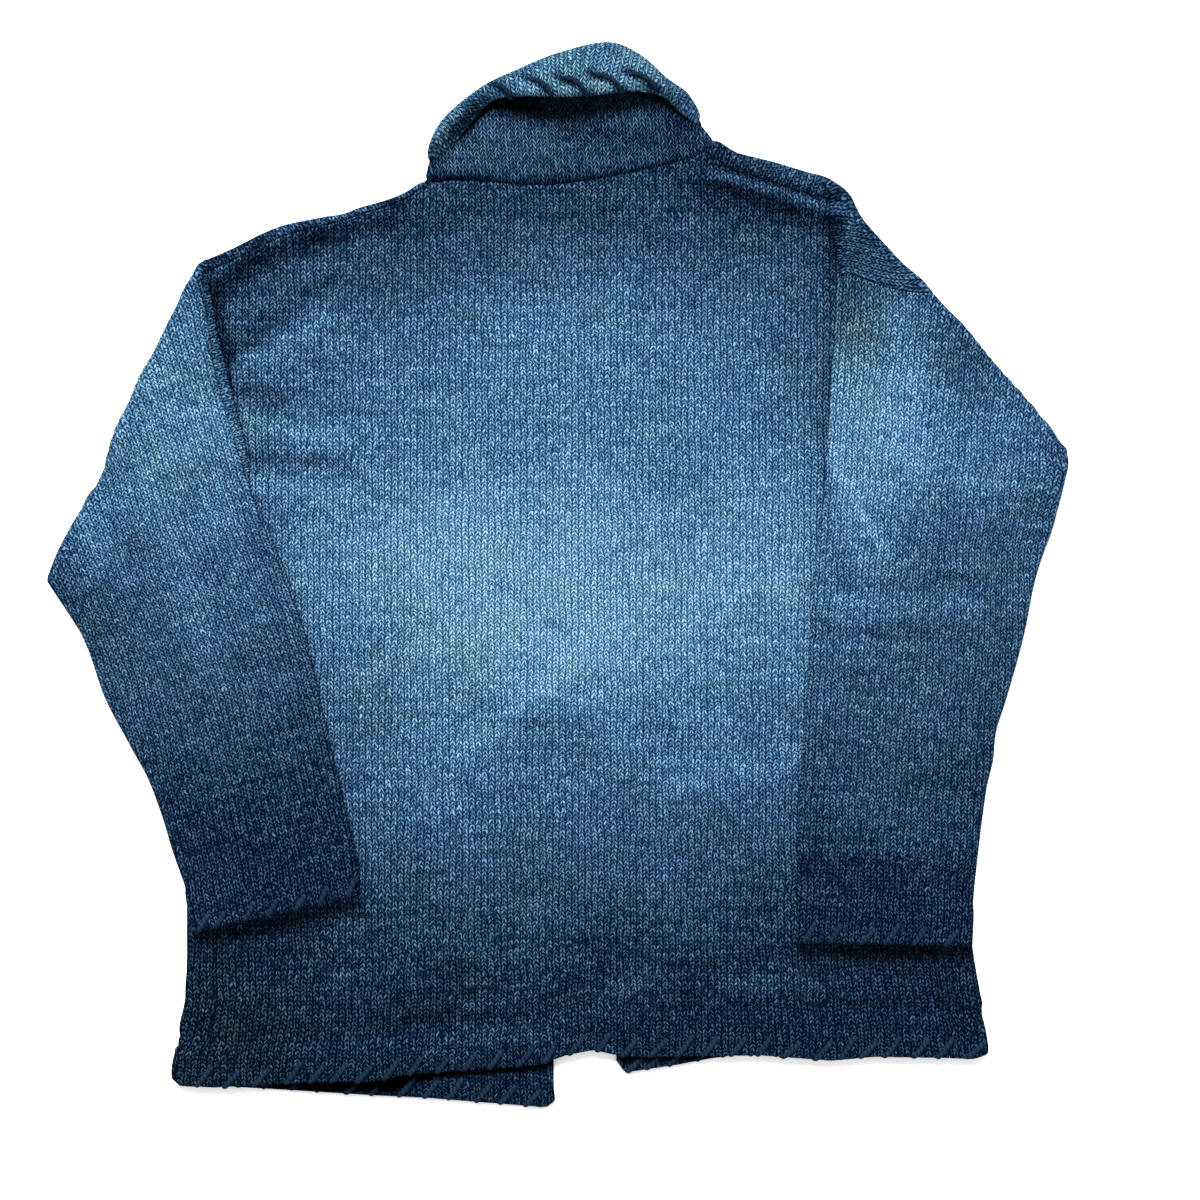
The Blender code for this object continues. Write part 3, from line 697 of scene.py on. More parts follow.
def patch_level(points, patches, base):
    """A base level and soft ovals at each point, 0 dark to 1 pale: the indigo's fading, with painted
    shade in some patches.
    """
    total = np.full(points.shape[:-1], base)
    for x, y, across, up, lean, amount in patches:
        c, s = math.cos(math.radians(lean)), math.sin(math.radians(lean))
        dx, dy = points[..., 0] - x, points[..., 1] - y
        total += amount * np.exp(-((dx * c + dy * s) / across) ** 2 - ((dy * c - dx * s) / up) ** 2)
    return total


# Panels.
def mean_length(line, other):
    return (travelled(np.array(line, float))[-1] + travelled(np.array(other, float))[-1]) / 2


def panel(name, borders, fine, place, material, darkened=()):
    """A panel's upper and lower faces over one grid; they meet all round in a rounded edge.

    The plan is a coons patch between the borders.  Heights start as shares of the cloth's thickness, and
    place turns both into where the cloth lies.  fine gives the stretches across and up that need a finer
    mesh, and the last argument the lines of painted shadow on its face.
    """
    left, right, bottom, top = borders
    width, height = mean_length(bottom, top), mean_length(left, right)
    across = places(width, CLOTH / 2, CLOTH / 2, fine[0])
    up = places(height, HEM_CLOTH / 2, CLOTH / 2, fine[1])
    plan = coons(left, right, bottom, top, across / width, up / height)
    round_sides = edge_round(np.minimum(across, width - across), CLOTH / 2)
    round_ends = np.minimum(edge_round(up, HEM_CLOTH / 2), edge_round(height - up, CLOTH / 2))
    rounding = round_sides[None] * round_ends[:, None]
    heights = (0.5 + 0.5 * rounding, 0.5 - 0.5 * rounding)
    points = np.stack([np.concatenate((plan, share[..., None]), axis=2) for share in heights])
    stitches = np.stack((points[..., 0] / BACK_WALE, points[..., 1] / ROW), axis=-1)
    place(points)
    run_across, run_up = plan[0, 1] - plan[0, 0], plan[1, 0] - plan[0, 0]
    used, faces = two_faces(rounding, run_across[0] * run_up[1] < run_across[1] * run_up[0])
    points = points.reshape(-1, 3)[used]
    x, y, z = points.T
    # The level of dye, with painted shade from some patches and painted shade and light from the creases.
    dye_and_shade = patch_level(points, BODY_DYE_AND_SHADE, BODY_FADE) + CREASE_SHADE_PER_MM * relief(x, y, BODY_CREASES)
    # Painted shadow along the given lines, in full from the hem's thickness up.
    dye_and_shade += relief(x, y, darkened) * np.clip(z / HEM_CLOTH, 0, 1)
    facts = {"dye_and_shade": dye_and_shade, "green": patch_level(points, BODY_GREEN, 0.0)}
    return make_piece(name, points, faces, stitches.reshape(-1, 2)[used], material, facts)


def wrap_end(fold, seam_x, y, gap):
    """x at which a front's wrapped edge lies at height y, moved on by gap."""
    reach = abs(seam_x - fold.point[0]) + math.pi * SINGLE_WRAP
    inwards = reach - math.pi * (wrap_axis(y) - layer(y) / 2) + gap
    return fold.point[0] - fold.out[0] * inwards


def make_back(material):
    """The back panel, from the side and shoulder seams and the neck down to its turned hem."""
    rows = (HEM_Y, HEM_TOP, HEM_RAMP)
    left = [(wrap_end(side_left, SIDE_SEAM_LEFT, y, SEAM), y) for y in rows]
    right = [(wrap_end(side_right, SIDE_SEAM_RIGHT, y, SEAM), y) for y in rows]
    armholes = (ARMHOLE_LEFT[BACK_ARMHOLE_LEFT], ARMHOLE_RIGHT[BACK_ARMHOLE_RIGHT])
    for side, armhole in zip((left, right), armholes):
        side += [(side[-1][0], armhole[-1][1] + SEAM), *smooth(armhole[::-1], CURVE_POINTS)[1:]]
    left_seam = np.array(SHOULDER_SEAM_LEFT[::-1]) - SEAM * shoulder_left.out
    right_seam = np.array(SHOULDER_SEAM_RIGHT) - SEAM * shoulder_right.out
    top = [*left_seam, *smooth(NECK, CURVE_POINTS), *right_seam]
    left[-1], right[-1] = top[0], top[-1]
    bottom = [left[0], right[0]]

    def place(points):
        thickness = layer(points[..., 1])
        points[..., 2] = thickness + EASE + points[..., 2] * pinched(points[..., 1])
        settle(points, BACK_SAG)
        crease(points, [*BODY_CREASES, *whip_dents(HEM_WHIPS, BACK_SAG)], CLOTH, BODY)
        sleeve_fold_left.turn(points, SLEEVE_AXIS, BODY / 2)
        sleeve_fold_right.turn(points, SLEEVE_AXIS, BODY / 2)
        bulge(points)

    return panel("back_knit", (left, right, bottom, top), ((), (HEM_FINE,)), place, material)


def make_front(name, side, shoulder, seam, side_seam, armhole, edge, sag, whips, material):
    """A front: round the side and over the shoulder it reaches on to the back."""
    neck_corner = np.array(seam[0]) - shoulder.distance(seam[0]) * shoulder.out
    underarm = armhole[-1][1]
    top = shoulder.spread(seam, SINGLE_WRAP)
    left = [*edge, neck_corner, top[0]]
    right = [*side.spread([(side_seam, HEM_Y), (side_seam, underarm)], SINGLE_WRAP), *armhole[::-1]]
    right += [*shoulder.spread(armhole[:2], SINGLE_WRAP)]
    bottom = (left[0], right[0])

    def place(points):
        thickness = layer(points[..., 1])
        points[..., 2] = thickness - (1 - points[..., 2]) * pinched(points[..., 1])
        side.turn(points, wrap_axis(points[..., 1]), thickness / 2)
        shoulder.turn(points, WRAP_REACH, CLOTH / 2)
        settle(points, sag)
        crease(points, BODY_CREASES, CLOTH, BODY)
        crease(points, whip_dents(whips, sag), CLOTH, HEM_CLOTH)
        sleeve_fold_left.turn(points, SLEEVE_AXIS, BODY / 2)
        sleeve_fold_right.turn(points, SLEEVE_AXIS, BODY / 2)
        bulge(points)

    fold, height = abs(side.point[0] - left[0][0]), mean_length(left, right)
    fine = ((tuple(fold + SIDE_FINE),), (tuple(height + SHOULDER_FINE),))
    return panel(name, (left, right, bottom, top), fine, place, material, FLAP_SHADOW)


# Sleeves.
def section(line, ends, puff, wall):
    """A flattened tube's outer and inner loop: flat along the line, with half circles at its two ends.

    The round ends point along ends.  The lower side swells by puff * sin(pi * share across) ** BLUNT.
    """
    middle = BODY - wall - EASE / 2
    swell = puff * np.sin(math.pi * np.linspace(0, 1, len(line))).clip(0) ** BLUNT
    loops = []
    for radius in (wall + EASE / 2, EASE / 2):
        reach = radius * np.sin(SLEEVE_ROUND)[:, None]
        rise = radius * np.cos(SLEEVE_ROUND)
        plan = np.vstack((line, line[-1] + reach * ends[1], line[::-1], line[0] + reach * ends[0]))
        heights = (np.full(len(line), radius), rise, -radius - swell[::-1], -rise)
        loops.append(np.column_stack((plan, middle + np.concatenate(heights))))
    return np.array(loops)


def drape(points, edge_x, under_y):
    """Outside the body a folded sleeve comes down to the table, as 3t^2 - 2t^3 from the body's edge."""
    side = math.copysign(1, edge_x)
    outside = np.clip((side * points[..., 0] - abs(edge_x)) / DRAPE, 0, 1)
    below = np.clip((under_y - points[..., 1]) / (3 * DRAPE), 0, 1)
    folded = np.clip((points[..., 2] - BODY) / FOLD_AIR, 0, 1)
    points[..., 2] -= DRAPE_DROP * (3 * outside**2 - 2 * outside**3) * below * folded


def make_sleeve(name, table, armhole, folds, hang, lean, creases, dye_and_shade_patches, material):
    """A tapered tube from the armhole to the turned cuff, folded down over the back.

    folds are the sleeve's own, the shoulder's and the side's.  The tube is a smooth curve of sections,
    from the seam through the table's rows.  Its columns of stitches lean by an angle that changes down
    the sleeve, as lean gives it: y and degrees.  hang is where it comes down beside the body, and the
    next to last argument its patches of dye and painted shade and its base level.
    """
    fold, shoulder, side = folds
    edge_x, under_y = hang
    shares = np.linspace(0, 1, SLEEVE_ACROSS)
    seam = along(smooth(armhole, ARMHOLE_POINTS), shares)
    run = np.gradient(seam, axis=0)
    away = run[:, ::-1] * (-1, 1) / np.linalg.norm(run, axis=1)[:, None] * math.copysign(1, edge_x)
    seam += SEAM * away
    sections = [section(seam, (shoulder.out, side.out), 0, CLOTH)]
    centres = [seam.mean(axis=0)]
    for inner_x, inner_y, outer_x, outer_y, puff, wall in table:
        inner, outer = fold.spread(((inner_x, inner_y), (outer_x, outer_y)), SLEEVE_WRAP)
        across = (outer - inner) / np.linalg.norm(outer - inner)
        radius = wall + EASE / 2
        start, end = inner + radius * across, outer - radius * across
        sections.append(section(start + shares[:, None] * (end - start), (-across, across), puff, wall))
        centres.append((inner + outer) / 2)
    centres = smooth(centres, SLEEVE_POINTS)
    sections = smooth(np.array(sections), SLEEVE_POINTS).reshape(SLEEVE_POINTS, -1)
    run = travelled(centres)
    length = run[-1]
    stations = places(length, CLOTH / 2, HEM_CLOTH / 2)
    loops = np.stack([np.interp(stations, run, column) for column in sections.T], axis=1)
    loops = loops.reshape(len(stations), 2, -1, 3)
    rounding = edge_round(stations, CLOTH / 2) * edge_round(length - stations, HEM_CLOTH / 2)
    mean = loops.mean(axis=1, keepdims=True)
    loops = mean + (loops - mean) * rounding[:, None, None, None]
    laid = fold.spread(loops[..., :2], SLEEVE_WRAP)
    slope = np.tan(np.radians(np.interp(LEAN_LEVELS, *zip(*lean[::-1]))))
    drift = np.cumsum(slope) * (LEAN_LEVELS[0] - LEAN_LEVELS[1])
    u = laid[..., 0] - np.interp(laid[..., 1], LEAN_LEVELS[::-1], drift[::-1])
    tilt = math.radians(np.mean([degrees for _, degrees in lean]))
    v = laid[..., 1] * math.cos(tilt) - laid[..., 0] * math.sin(tilt)
    stitches = np.stack((u * math.cos(tilt) / SLEEVE_WALE, v / ROW), axis=-1)
    fold.turn(loops, SLEEVE_AXIS, BODY / 2)
    drape(loops, edge_x, under_y)
    crease(loops, creases, BODY + CLOTH, BODY + 2 * CLOTH)
    bulge(loops)
    count = loops.shape[2]
    index = np.arange(loops.shape[0] * 2 * count).reshape(loops.shape[0], 2, count)
    index[0, 1], index[-1, 1] = index[0, 0], index[-1, 0]
    faces = np.concatenate((quads(index[:, 0], True), quads(index[:, 1], True)[:, ::-1]))
    used, faces = in_use(faces, flipped=edge_x > 0)
    points = loops.reshape(-1, 3)[used]
    # The level of dye, with painted shade from some patches and painted shade and light from the creases.
    dye_and_shade = patch_level(points, *dye_and_shade_patches) + CREASE_SHADE_PER_MM * relief(points[:, 0], points[:, 1], creases)
    facts = {"dye_and_shade": dye_and_shade, "green": patch_level(points, SLEEVE_GREEN, 0.0)}
    return make_piece(name, points, faces, stitches.reshape(-1, 2)[used], material, facts)


# The collar.
def collar_marks(pulled, tuft, tuft_end):
    """A line under each whip stitch on the collar and one along the tuft of cloth beside its end.

    pulled and tuft are the half width and height of each; the tuft stops tuft_end to the left of the end.
    """
    marks = [(*start, *end, *pulled) for start, end in COLLAR_WHIPS]
    for _, (x, y) in COLLAR_WHIPS:
        marks.append((x - TUFT_START, y + TUFT_UP, x - tuft_end, y + TUFT_UP, *tuft))
    return marks


def collar_stitches(sheet, down, across, ring, last):
    """The knit's columns and rows over the collar: upright on the stand, along the roll on the fall.

    On the stand u and v count along x and y, leaning a little.  On the fall u counts along a ring from
    the middle of the back, and v down the sheet.  Between them the two are blended.
    """
    turned = np.clip((ring - STAND_RINGS[0]) / np.ptp(STAND_RINGS), 0, 1)[:, None]
    rows, columns = across.shape
    even_row = round(FALL_RING / ring[-1] * (rows - 1))
    middle = across[even_row, round(COLLAR_MIDDLE / last * (columns - 1))]
    on_stand = sheet[..., 0] * math.cos(STAND_TILT) + sheet[..., 1] * math.sin(STAND_TILT)
    on_fall = across[even_row] - middle
    u = (1 - turned) * on_stand / STAND_WALE + turned * on_fall / FALL_WALE
    v = (1 - turned) * sheet[..., 1] / ROW + turned * (down + sheet[0, :, 1]) / ROW
    return np.stack((u, v), axis=-1)


def make_collar(material):
    """A closed skin, half the thickness to each side of the smooth sheet through the collar's rings.

    Also gives the points of the fall's outer face.
    """
    sheet = smooth(np.array([smooth(row[3:], COLLAR_STEPS) for row in COLLAR_RINGS]), COLLAR_ROWS)
    ring = np.linspace(0, len(COLLAR_RINGS) - 1, COLLAR_ROWS)
    last = len(COLLAR_RINGS[0][3:]) - 1
    shown = np.interp(np.linspace(0, last, COLLAR_STEPS), (1, 2, last - 2, last - 1), (0, 1, 1, 0))
    full, dye_and_shade = (smooth([row[k] for row in COLLAR_RINGS], COLLAR_ROWS) for k in (1, 2))
    thickness = HIDDEN_RIM + np.outer(full - HIDDEN_RIM, shown)
    sheet[..., 2] = np.maximum(sheet[..., 2], thickness / 2)
    normal = np.cross(np.gradient(sheet, axis=0), np.gradient(sheet, axis=1))
    normal /= np.linalg.norm(normal, axis=2)[..., None] + 1e-9
    down, across = travelled(sheet), travelled(sheet.transpose(1, 0, 2)).T
    rounding = edge_round(np.minimum(down, down[-1:] - down), thickness / 2)
    rounding = rounding * edge_round(np.minimum(across, across[:, -1:] - across), thickness / 2)
    rounding[[0, -1]] = 0
    rounding[:, [0, -1]] = 0
    half = (thickness / 2 * rounding)[..., None]
    points = np.stack((sheet - normal * half, sheet + normal * half))
    on_fall = np.clip(ring - FALL_START, 0, 1)[:, None] * shown
    outer_face = points[1]
    dents = relief(outer_face[..., 0], outer_face[..., 1], collar_marks(*COLLAR_DENTS))
    outer_face[..., 2] += dents * on_fall
    used, faces = two_faces(rounding)

    def both(values):
        """The sheet's values for the vertices in use on its two sides."""
        return np.stack((values,) * 2).reshape(2 * rounding.size, -1)[used]

    stitches = both(collar_stitches(sheet, down, across, ring, last))
    points = points.reshape(-1, 3)[used]
    on_fall = both(on_fall)[:, 0]
    level = both(np.broadcast_to(dye_and_shade[:, None], rounding.shape))[:, 0]
    # Dye patches, with painted shade in the collar's left hollow, and on the stand painted shadow under
    # the rim.
    level += patch_level(points, COLLAR_DYE_AND_SHADE, 0.0) + patch_level(points, STAND_SHADE_AND_DYE, 0.0) * (1 - on_fall)
    # Painted shade along the whip stitches on the fall and painted light on the tufts beside them.
    level += relief(points[:, 0], points[:, 1], collar_marks(*COLLAR_SHADES)) * on_fall
    facts = {"dye_and_shade": level, "green": patch_level(points, COLLAR_GREEN, 0.0)}
    piece = make_piece("collar_knit", points, faces, stitches, material, facts)
    return piece, outer_face[round(FALL_FROM * COLLAR_ROWS):].reshape(-1, 3)


# Whip stitches.
def yarn_tubes(name, lines, side, radius, material):
    """One tube of yarn round each line; side is a direction that none of them runs along.

    Each ring is the line's point + radius * (cos t * across + sin t * other), both square to the heading.
    """
    heading = np.gradient(lines, axis=1)
    heading /= np.linalg.norm(heading, axis=2)[..., None]
    across = np.cross(heading, side)
    across /= np.linalg.norm(across, axis=2)[..., None]
    other = np.cross(heading, across)
    turn = np.linspace(0, 2 * math.pi, YARN_SIDES, endpoint=False)
    radii = np.full(lines.shape[1], float(radius))
    radii[[0, -1]] *= YARN_END
    ring = np.cos(turn)[:, None] * across[:, :, None] + np.sin(turn)[:, None] * other[:, :, None]
    points = lines[:, :, None] + radii[:, None, None] * ring
    count, rows, columns = points.shape[:3]
    index = np.arange(count * rows * columns).reshape(count, rows, columns)
    faces = np.concatenate([quads(one, True)[:, ::-1] for one in index])
    around = np.broadcast_to(turn / (2 * math.pi), (count, rows, columns))
    length = np.broadcast_to(travelled(lines[0])[:, None], (count, rows, columns))
    uv = np.stack((around, length + YARN_APART * np.arange(count)[:, None, None]), axis=-1)
    points = points.reshape(-1, 3)
    # Painted shadow close under the back's hem, gone at FLAP_TOP and in full FLAP_FADES_OVER below it.
    low = np.clip((FLAP_TOP - points[:, 2]) / FLAP_FADES_OVER, 0, 1)
    darkened = relief(points[:, 0], points[:, 1], FLAP_SHADOW) * low
    return make_piece(name, points, faces, uv.reshape(-1, 2), material, {"dye_and_shade": darkened})


def whip_stitches(name, edge, half, slant, material):
    """Each follows the whip path from its own point of an edge that runs along x; inwards is +y."""
    path = smooth(WHIP, WHIP_POINTS)
    spread = 1 + WHIP_UNEVEN * dice.standard_normal((len(edge), 2, 1))
    lines = np.empty((len(edge), len(path), 3))
    lines[..., 0] = edge[:, :1] + path[:, 0] * slant * spread[:, 0]
    lines[..., 1] = edge[:, 1:2] + path[:, 1] * spread[:, 1]
    lines[..., 2] = edge[:, 2:] + path[:, 2] * half
    bulge(lines)
    return yarn_tubes(name, lines, ALONG_HEM, WHIP_YARN, material)


def hem_whips(name, xs, sag, middle, material):
    xs = np.array(xs, float)
    edge = np.stack((xs, hem_height(xs, sag), np.full_like(xs, middle)), axis=-1)
    return whip_stitches(name, edge, HEM_CLOTH / 2, 1.0, material)


def cuff_whips(name, xs, table, slant, material):
    inner_x, inner_y, outer_x, outer_y = table[-1][:4]
    xs = np.array(xs, float)
    ys = inner_y + (outer_y - inner_y) * (xs - inner_x) / (outer_x - inner_x)
    top = 2 * SLEEVE_AXIS - BODY + 2 * HEM_CLOTH + EASE
    edge = np.stack((xs, ys, np.full_like(xs, top - HEM_CLOTH / 2)), axis=-1)
    return whip_stitches(name, edge, HEM_CLOTH / 2, slant, material)


def collar_whips(name, whips, face, material):
    """Each bows down to its end on the rim, lies on the fall's face, then goes round the rim.

    In plan it is the parabola (1-t)^2 start + 2t(1-t) bend + t^2 end; its height is the face's nearby.
    """
    share = np.linspace(0, 1, COLLAR_WHIP_POINTS)[:, None]
    lines = []
    for start, end in np.array(whips, float):
        bend = start + (end - start) * COLLAR_BOW
        plan = (1 - share) ** 2 * start + 2 * share * (1 - share) * bend + share**2 * end
        away = np.linalg.norm(face[:, :2] - plan[:, None], axis=2)
        near = np.argsort(away, axis=1)[:, :NEAREST]
        weight = 1 / (np.take_along_axis(away, near, axis=1) + CLOSE)
        height = (face[near, 2] * weight).sum(axis=1) / weight.sum(axis=1)
        sunk = COLLAR_SUNK * np.exp(-share[:, 0] / COLLAR_SUNK_OVER)
        line = np.column_stack((plan, height + COLLAR_PROUD - sunk))
        lines.append(smooth(np.vstack((line[::3], line[-1] + ROUND_RIM)), WHIP_POINTS + 1))
    return yarn_tubes(name, np.array(lines), ACROSS_RIM, COLLAR_YARN, material)


# Materials.
class Recipe:
    """A small helper that adds and links a material's nodes."""

    def __init__(self, name):
        self.material = bpy.data.materials.new(name)
        self.material.use_nodes = True
        self.tree = self.material.node_tree
        self.shader = self.tree.nodes["Principled BSDF"]

    def node(self, kind, inputs=(), **settings):
        node = self.tree.nodes.new(kind)
        for key, value in settings.items():
            setattr(node, key, value)
        for key, value in dict(inputs).items():
            self.feed(node.inputs[key], value)
        return node

    def feed(self, socket, value):
        if isinstance(value, bpy.types.NodeSocket):
            self.tree.links.new(value, socket)
        else:
            socket.default_value = value

    def math(self, operation, *values, clamp=False):
        node = self.node("ShaderNodeMath", operation=operation, use_clamp=clamp)
        for socket, value in zip(node.inputs, values):
            self.feed(socket, value)
        return node.outputs[0]

    def varied(self, base, amount, noise):
        """base, more or less by up to half the amount as noise runs from 0 to 1."""
        return self.math("MULTIPLY_ADD", self.math("SUBTRACT", noise, 0.5), amount, base)

    def fact(self, name):
        return self.node("ShaderNodeAttribute", attribute_name=name).outputs["Fac"]

    def noise(self, vector, scale, detail=2.0, roughness=0.5):
        inputs = {"Vector": vector, "Scale": scale, "Detail": detail, "Roughness": roughness}
        return self.node("ShaderNodeTexNoise", inputs).outputs["Fac"]

    def vector(self, x, y, z=0.0):
        return self.node("ShaderNodeCombineXYZ", {"X": x, "Y": y, "Z": z}).outputs[0]

    def scaled(self, x, y, scales):
        return self.vector(self.math("MULTIPLY", x, scales[0]), self.math("MULTIPLY", y, scales[1]))

    def ramp(self, factor, stops):
        node = self.node("ShaderNodeValToRGB", {"Fac": factor})
        ramp = node.color_ramp
        while len(ramp.elements) < len(stops):
            ramp.elements.new(0.5)
        for element, (position, colour) in zip(ramp.elements, stops):
            element.position = position
            element.color = colour
        return node.outputs["Color"]

    def mix(self, factor, a, b, blend="MIX"):
        node = self.node("ShaderNodeMix", data_type="RGBA", blend_type=blend)
        self.feed(node.inputs["Factor"], factor)
        self.feed(node.inputs["A"], a)
        self.feed(node.inputs["B"], b)
        return node.outputs["Result"]

    def matt(self, colour, height, **bump):
        """Cotton: no gloss at all, with its colour and a bump of this height."""
        bump = self.node("ShaderNodeBump", {"Height": height, **bump})
        self.feed(self.shader.inputs["Base Color"], colour)
        self.feed(self.shader.inputs["Normal"], bump.outputs[0])
        self.shader.inputs["Roughness"].default_value = 1.0
        self.shader.inputs["Specular IOR Level"].default_value = 0.0
        return self.material


LIT = 0.47  # what a colour is multiplied by, so that in this bright light it looks as it is given


def srgb(red, green, blue):
    """A colour as it looks when lit, 0 to 255, in the linear values that a shader takes."""
    shown = (red / 255, green / 255, blue / 255)
    linear = (((c + 0.055) / 1.055) ** 2.4 if c > 0.04 else c / 12.92 for c in shown)
    return (*(LIT * value for value in linear), 1)


# The dye from dark to well faded: deep between the yarns, darkened there by painted shade, plain on them,
# and worn where fibres stand up, lightened there by a painted highlight.
DEEP_AND_SHADED_STOPS = (
    (0.0, srgb(0, 7, 28)),
    (0.45, srgb(0, 26, 60)),
    (0.7, srgb(4, 45, 82)),
    (1.0, srgb(28, 77, 110)),
)
PLAIN_STOPS = (
    (0.0, srgb(6, 28, 52)),
    (0.45, srgb(44, 86, 121)),
    (0.7, srgb(71, 118, 158)),
    (1.0, srgb(114, 162, 199)),
)
WORN_AND_LIT_STOPS = (
    (0.0, srgb(66, 92, 116)),
    (0.45, srgb(118, 154, 187)),
    (0.7, srgb(150, 196, 230)),
    (1.0, srgb(180, 222, 250)),
)
# What the dye's colour is multiplied by as it turns from a little purple over plain to green and brown.
GREEN_STOPS = (
    (0.25, (0.99, 0.95, 1.08, 1)),
    (0.5, (1, 1, 1, 1)),
    (0.75, (1.07, 1.02, 0.86, 1)),
    (1.0, (1.24, 1.02, 0.76, 1)),
)
# The thick yarn's colours, two of each mixed in patches: darker with painted shade in the grooves between
# its strands, paler with a painted highlight on their crests.
YARN_DARK = (srgb(8, 24, 42), srgb(18, 36, 56))
YARN_LIGHT = (srgb(24, 44, 66), srgb(46, 68, 90))

# How the stitches stray from their places: the scale of the noise in stitches, and how far across and up.
STRAYS = ((0.13, 0.9, 1.6), (0.55, 0.42, 0.8), (1.6, 0.36, 0.85))
ARCH = 0.014  # how round the two legs meet at the top of a stitch
LEG_THIN = 3.9  # how much thinner than long a leg is
# How unevenly the dye has faded, as shares of its whole range: in streaks along the rows, in clouds,
# and from one leg to the next.
STREAKS = 0.56
CLOUDS = 0.30
LEGS = 0.10
PALE_LEGS = (5.0, -3.9, 0.07)  # a few legs are much paler: steepness, threshold and amount
# How far the legs' crowns turn pale: wear, and a painted highlight.
WEAR_AND_HIGHLIGHT = 0.66  # how worn a leg's crown is, how much more so some legs are, and how uneven its fibres
WORN_LEGS = 0.4
FIBRES = 2.0
GREENING = 3.2  # how unevenly it has turned green
# Painted shadow: where patches push the level below 0, under the cuffs, the back's hem and the collar's
# rim, this darkens the colour further, as it does the darkest dye.
DEEP_DYE_AND_SHADOW = (1.4, 1.08)  # below 1, this line of the level darkens even the darkest dye

# The scales of those noises in stitches, across and up where they are two, and the bump's parts.
STREAK_SCALE = (0.08, 0.65)
CLOUD_SCALE = 0.06
FIBRE_SCALE = (4.2, 1.5)
GREEN_SCALE = 0.09
FIBRE_HEIGHT = 0.25
LEG_ROUND = 0.6
KNIT_RELIEF = 0.0009

# The thick yarn: mm of it for half a turn of a strand, its strands' fibres and patches, and its bump.
HALF_TURN = 3.5
YARN_FIBRES = 900
YARN_PATCHES = 60
YARN_RELIEF = 0.00015


def shaken(r, uv, scale, across, up):
    """uv moved by smooth noise, up to half these parts of a stitch either way."""
    noise = r.node("ShaderNodeTexNoise", {"Vector": uv, "Scale": scale, "Detail": 1.0}).outputs["Color"]
    inputs = {0: noise, 1: (0.5, 0.5, 0.5)}
    centred = r.node("ShaderNodeVectorMath", inputs, operation="SUBTRACT").outputs[0]
    inputs = {0: centred, 1: (across, up, 0), 2: uv}
    return r.node("ShaderNodeVectorMath", inputs, operation="MULTIPLY_ADD").outputs[0]


def yarn_colour(r, level, ridge):
    """Deep dye and painted shade, plain dye, then worn dye and a painted highlight as ridge goes 0 to 1,
    each by level.
    """
    darkened, plain, worn_and_lit = (r.ramp(level, stops) for stops in (DEEP_AND_SHADED_STOPS, PLAIN_STOPS, WORN_AND_LIT_STOPS))
    low = r.mix(r.math("MULTIPLY", ridge, 2.0, clamp=True), darkened, plain)
    return r.mix(r.math("MULTIPLY_ADD", ridge, 2.0, -1.0, clamp=True), low, worn_and_lit)


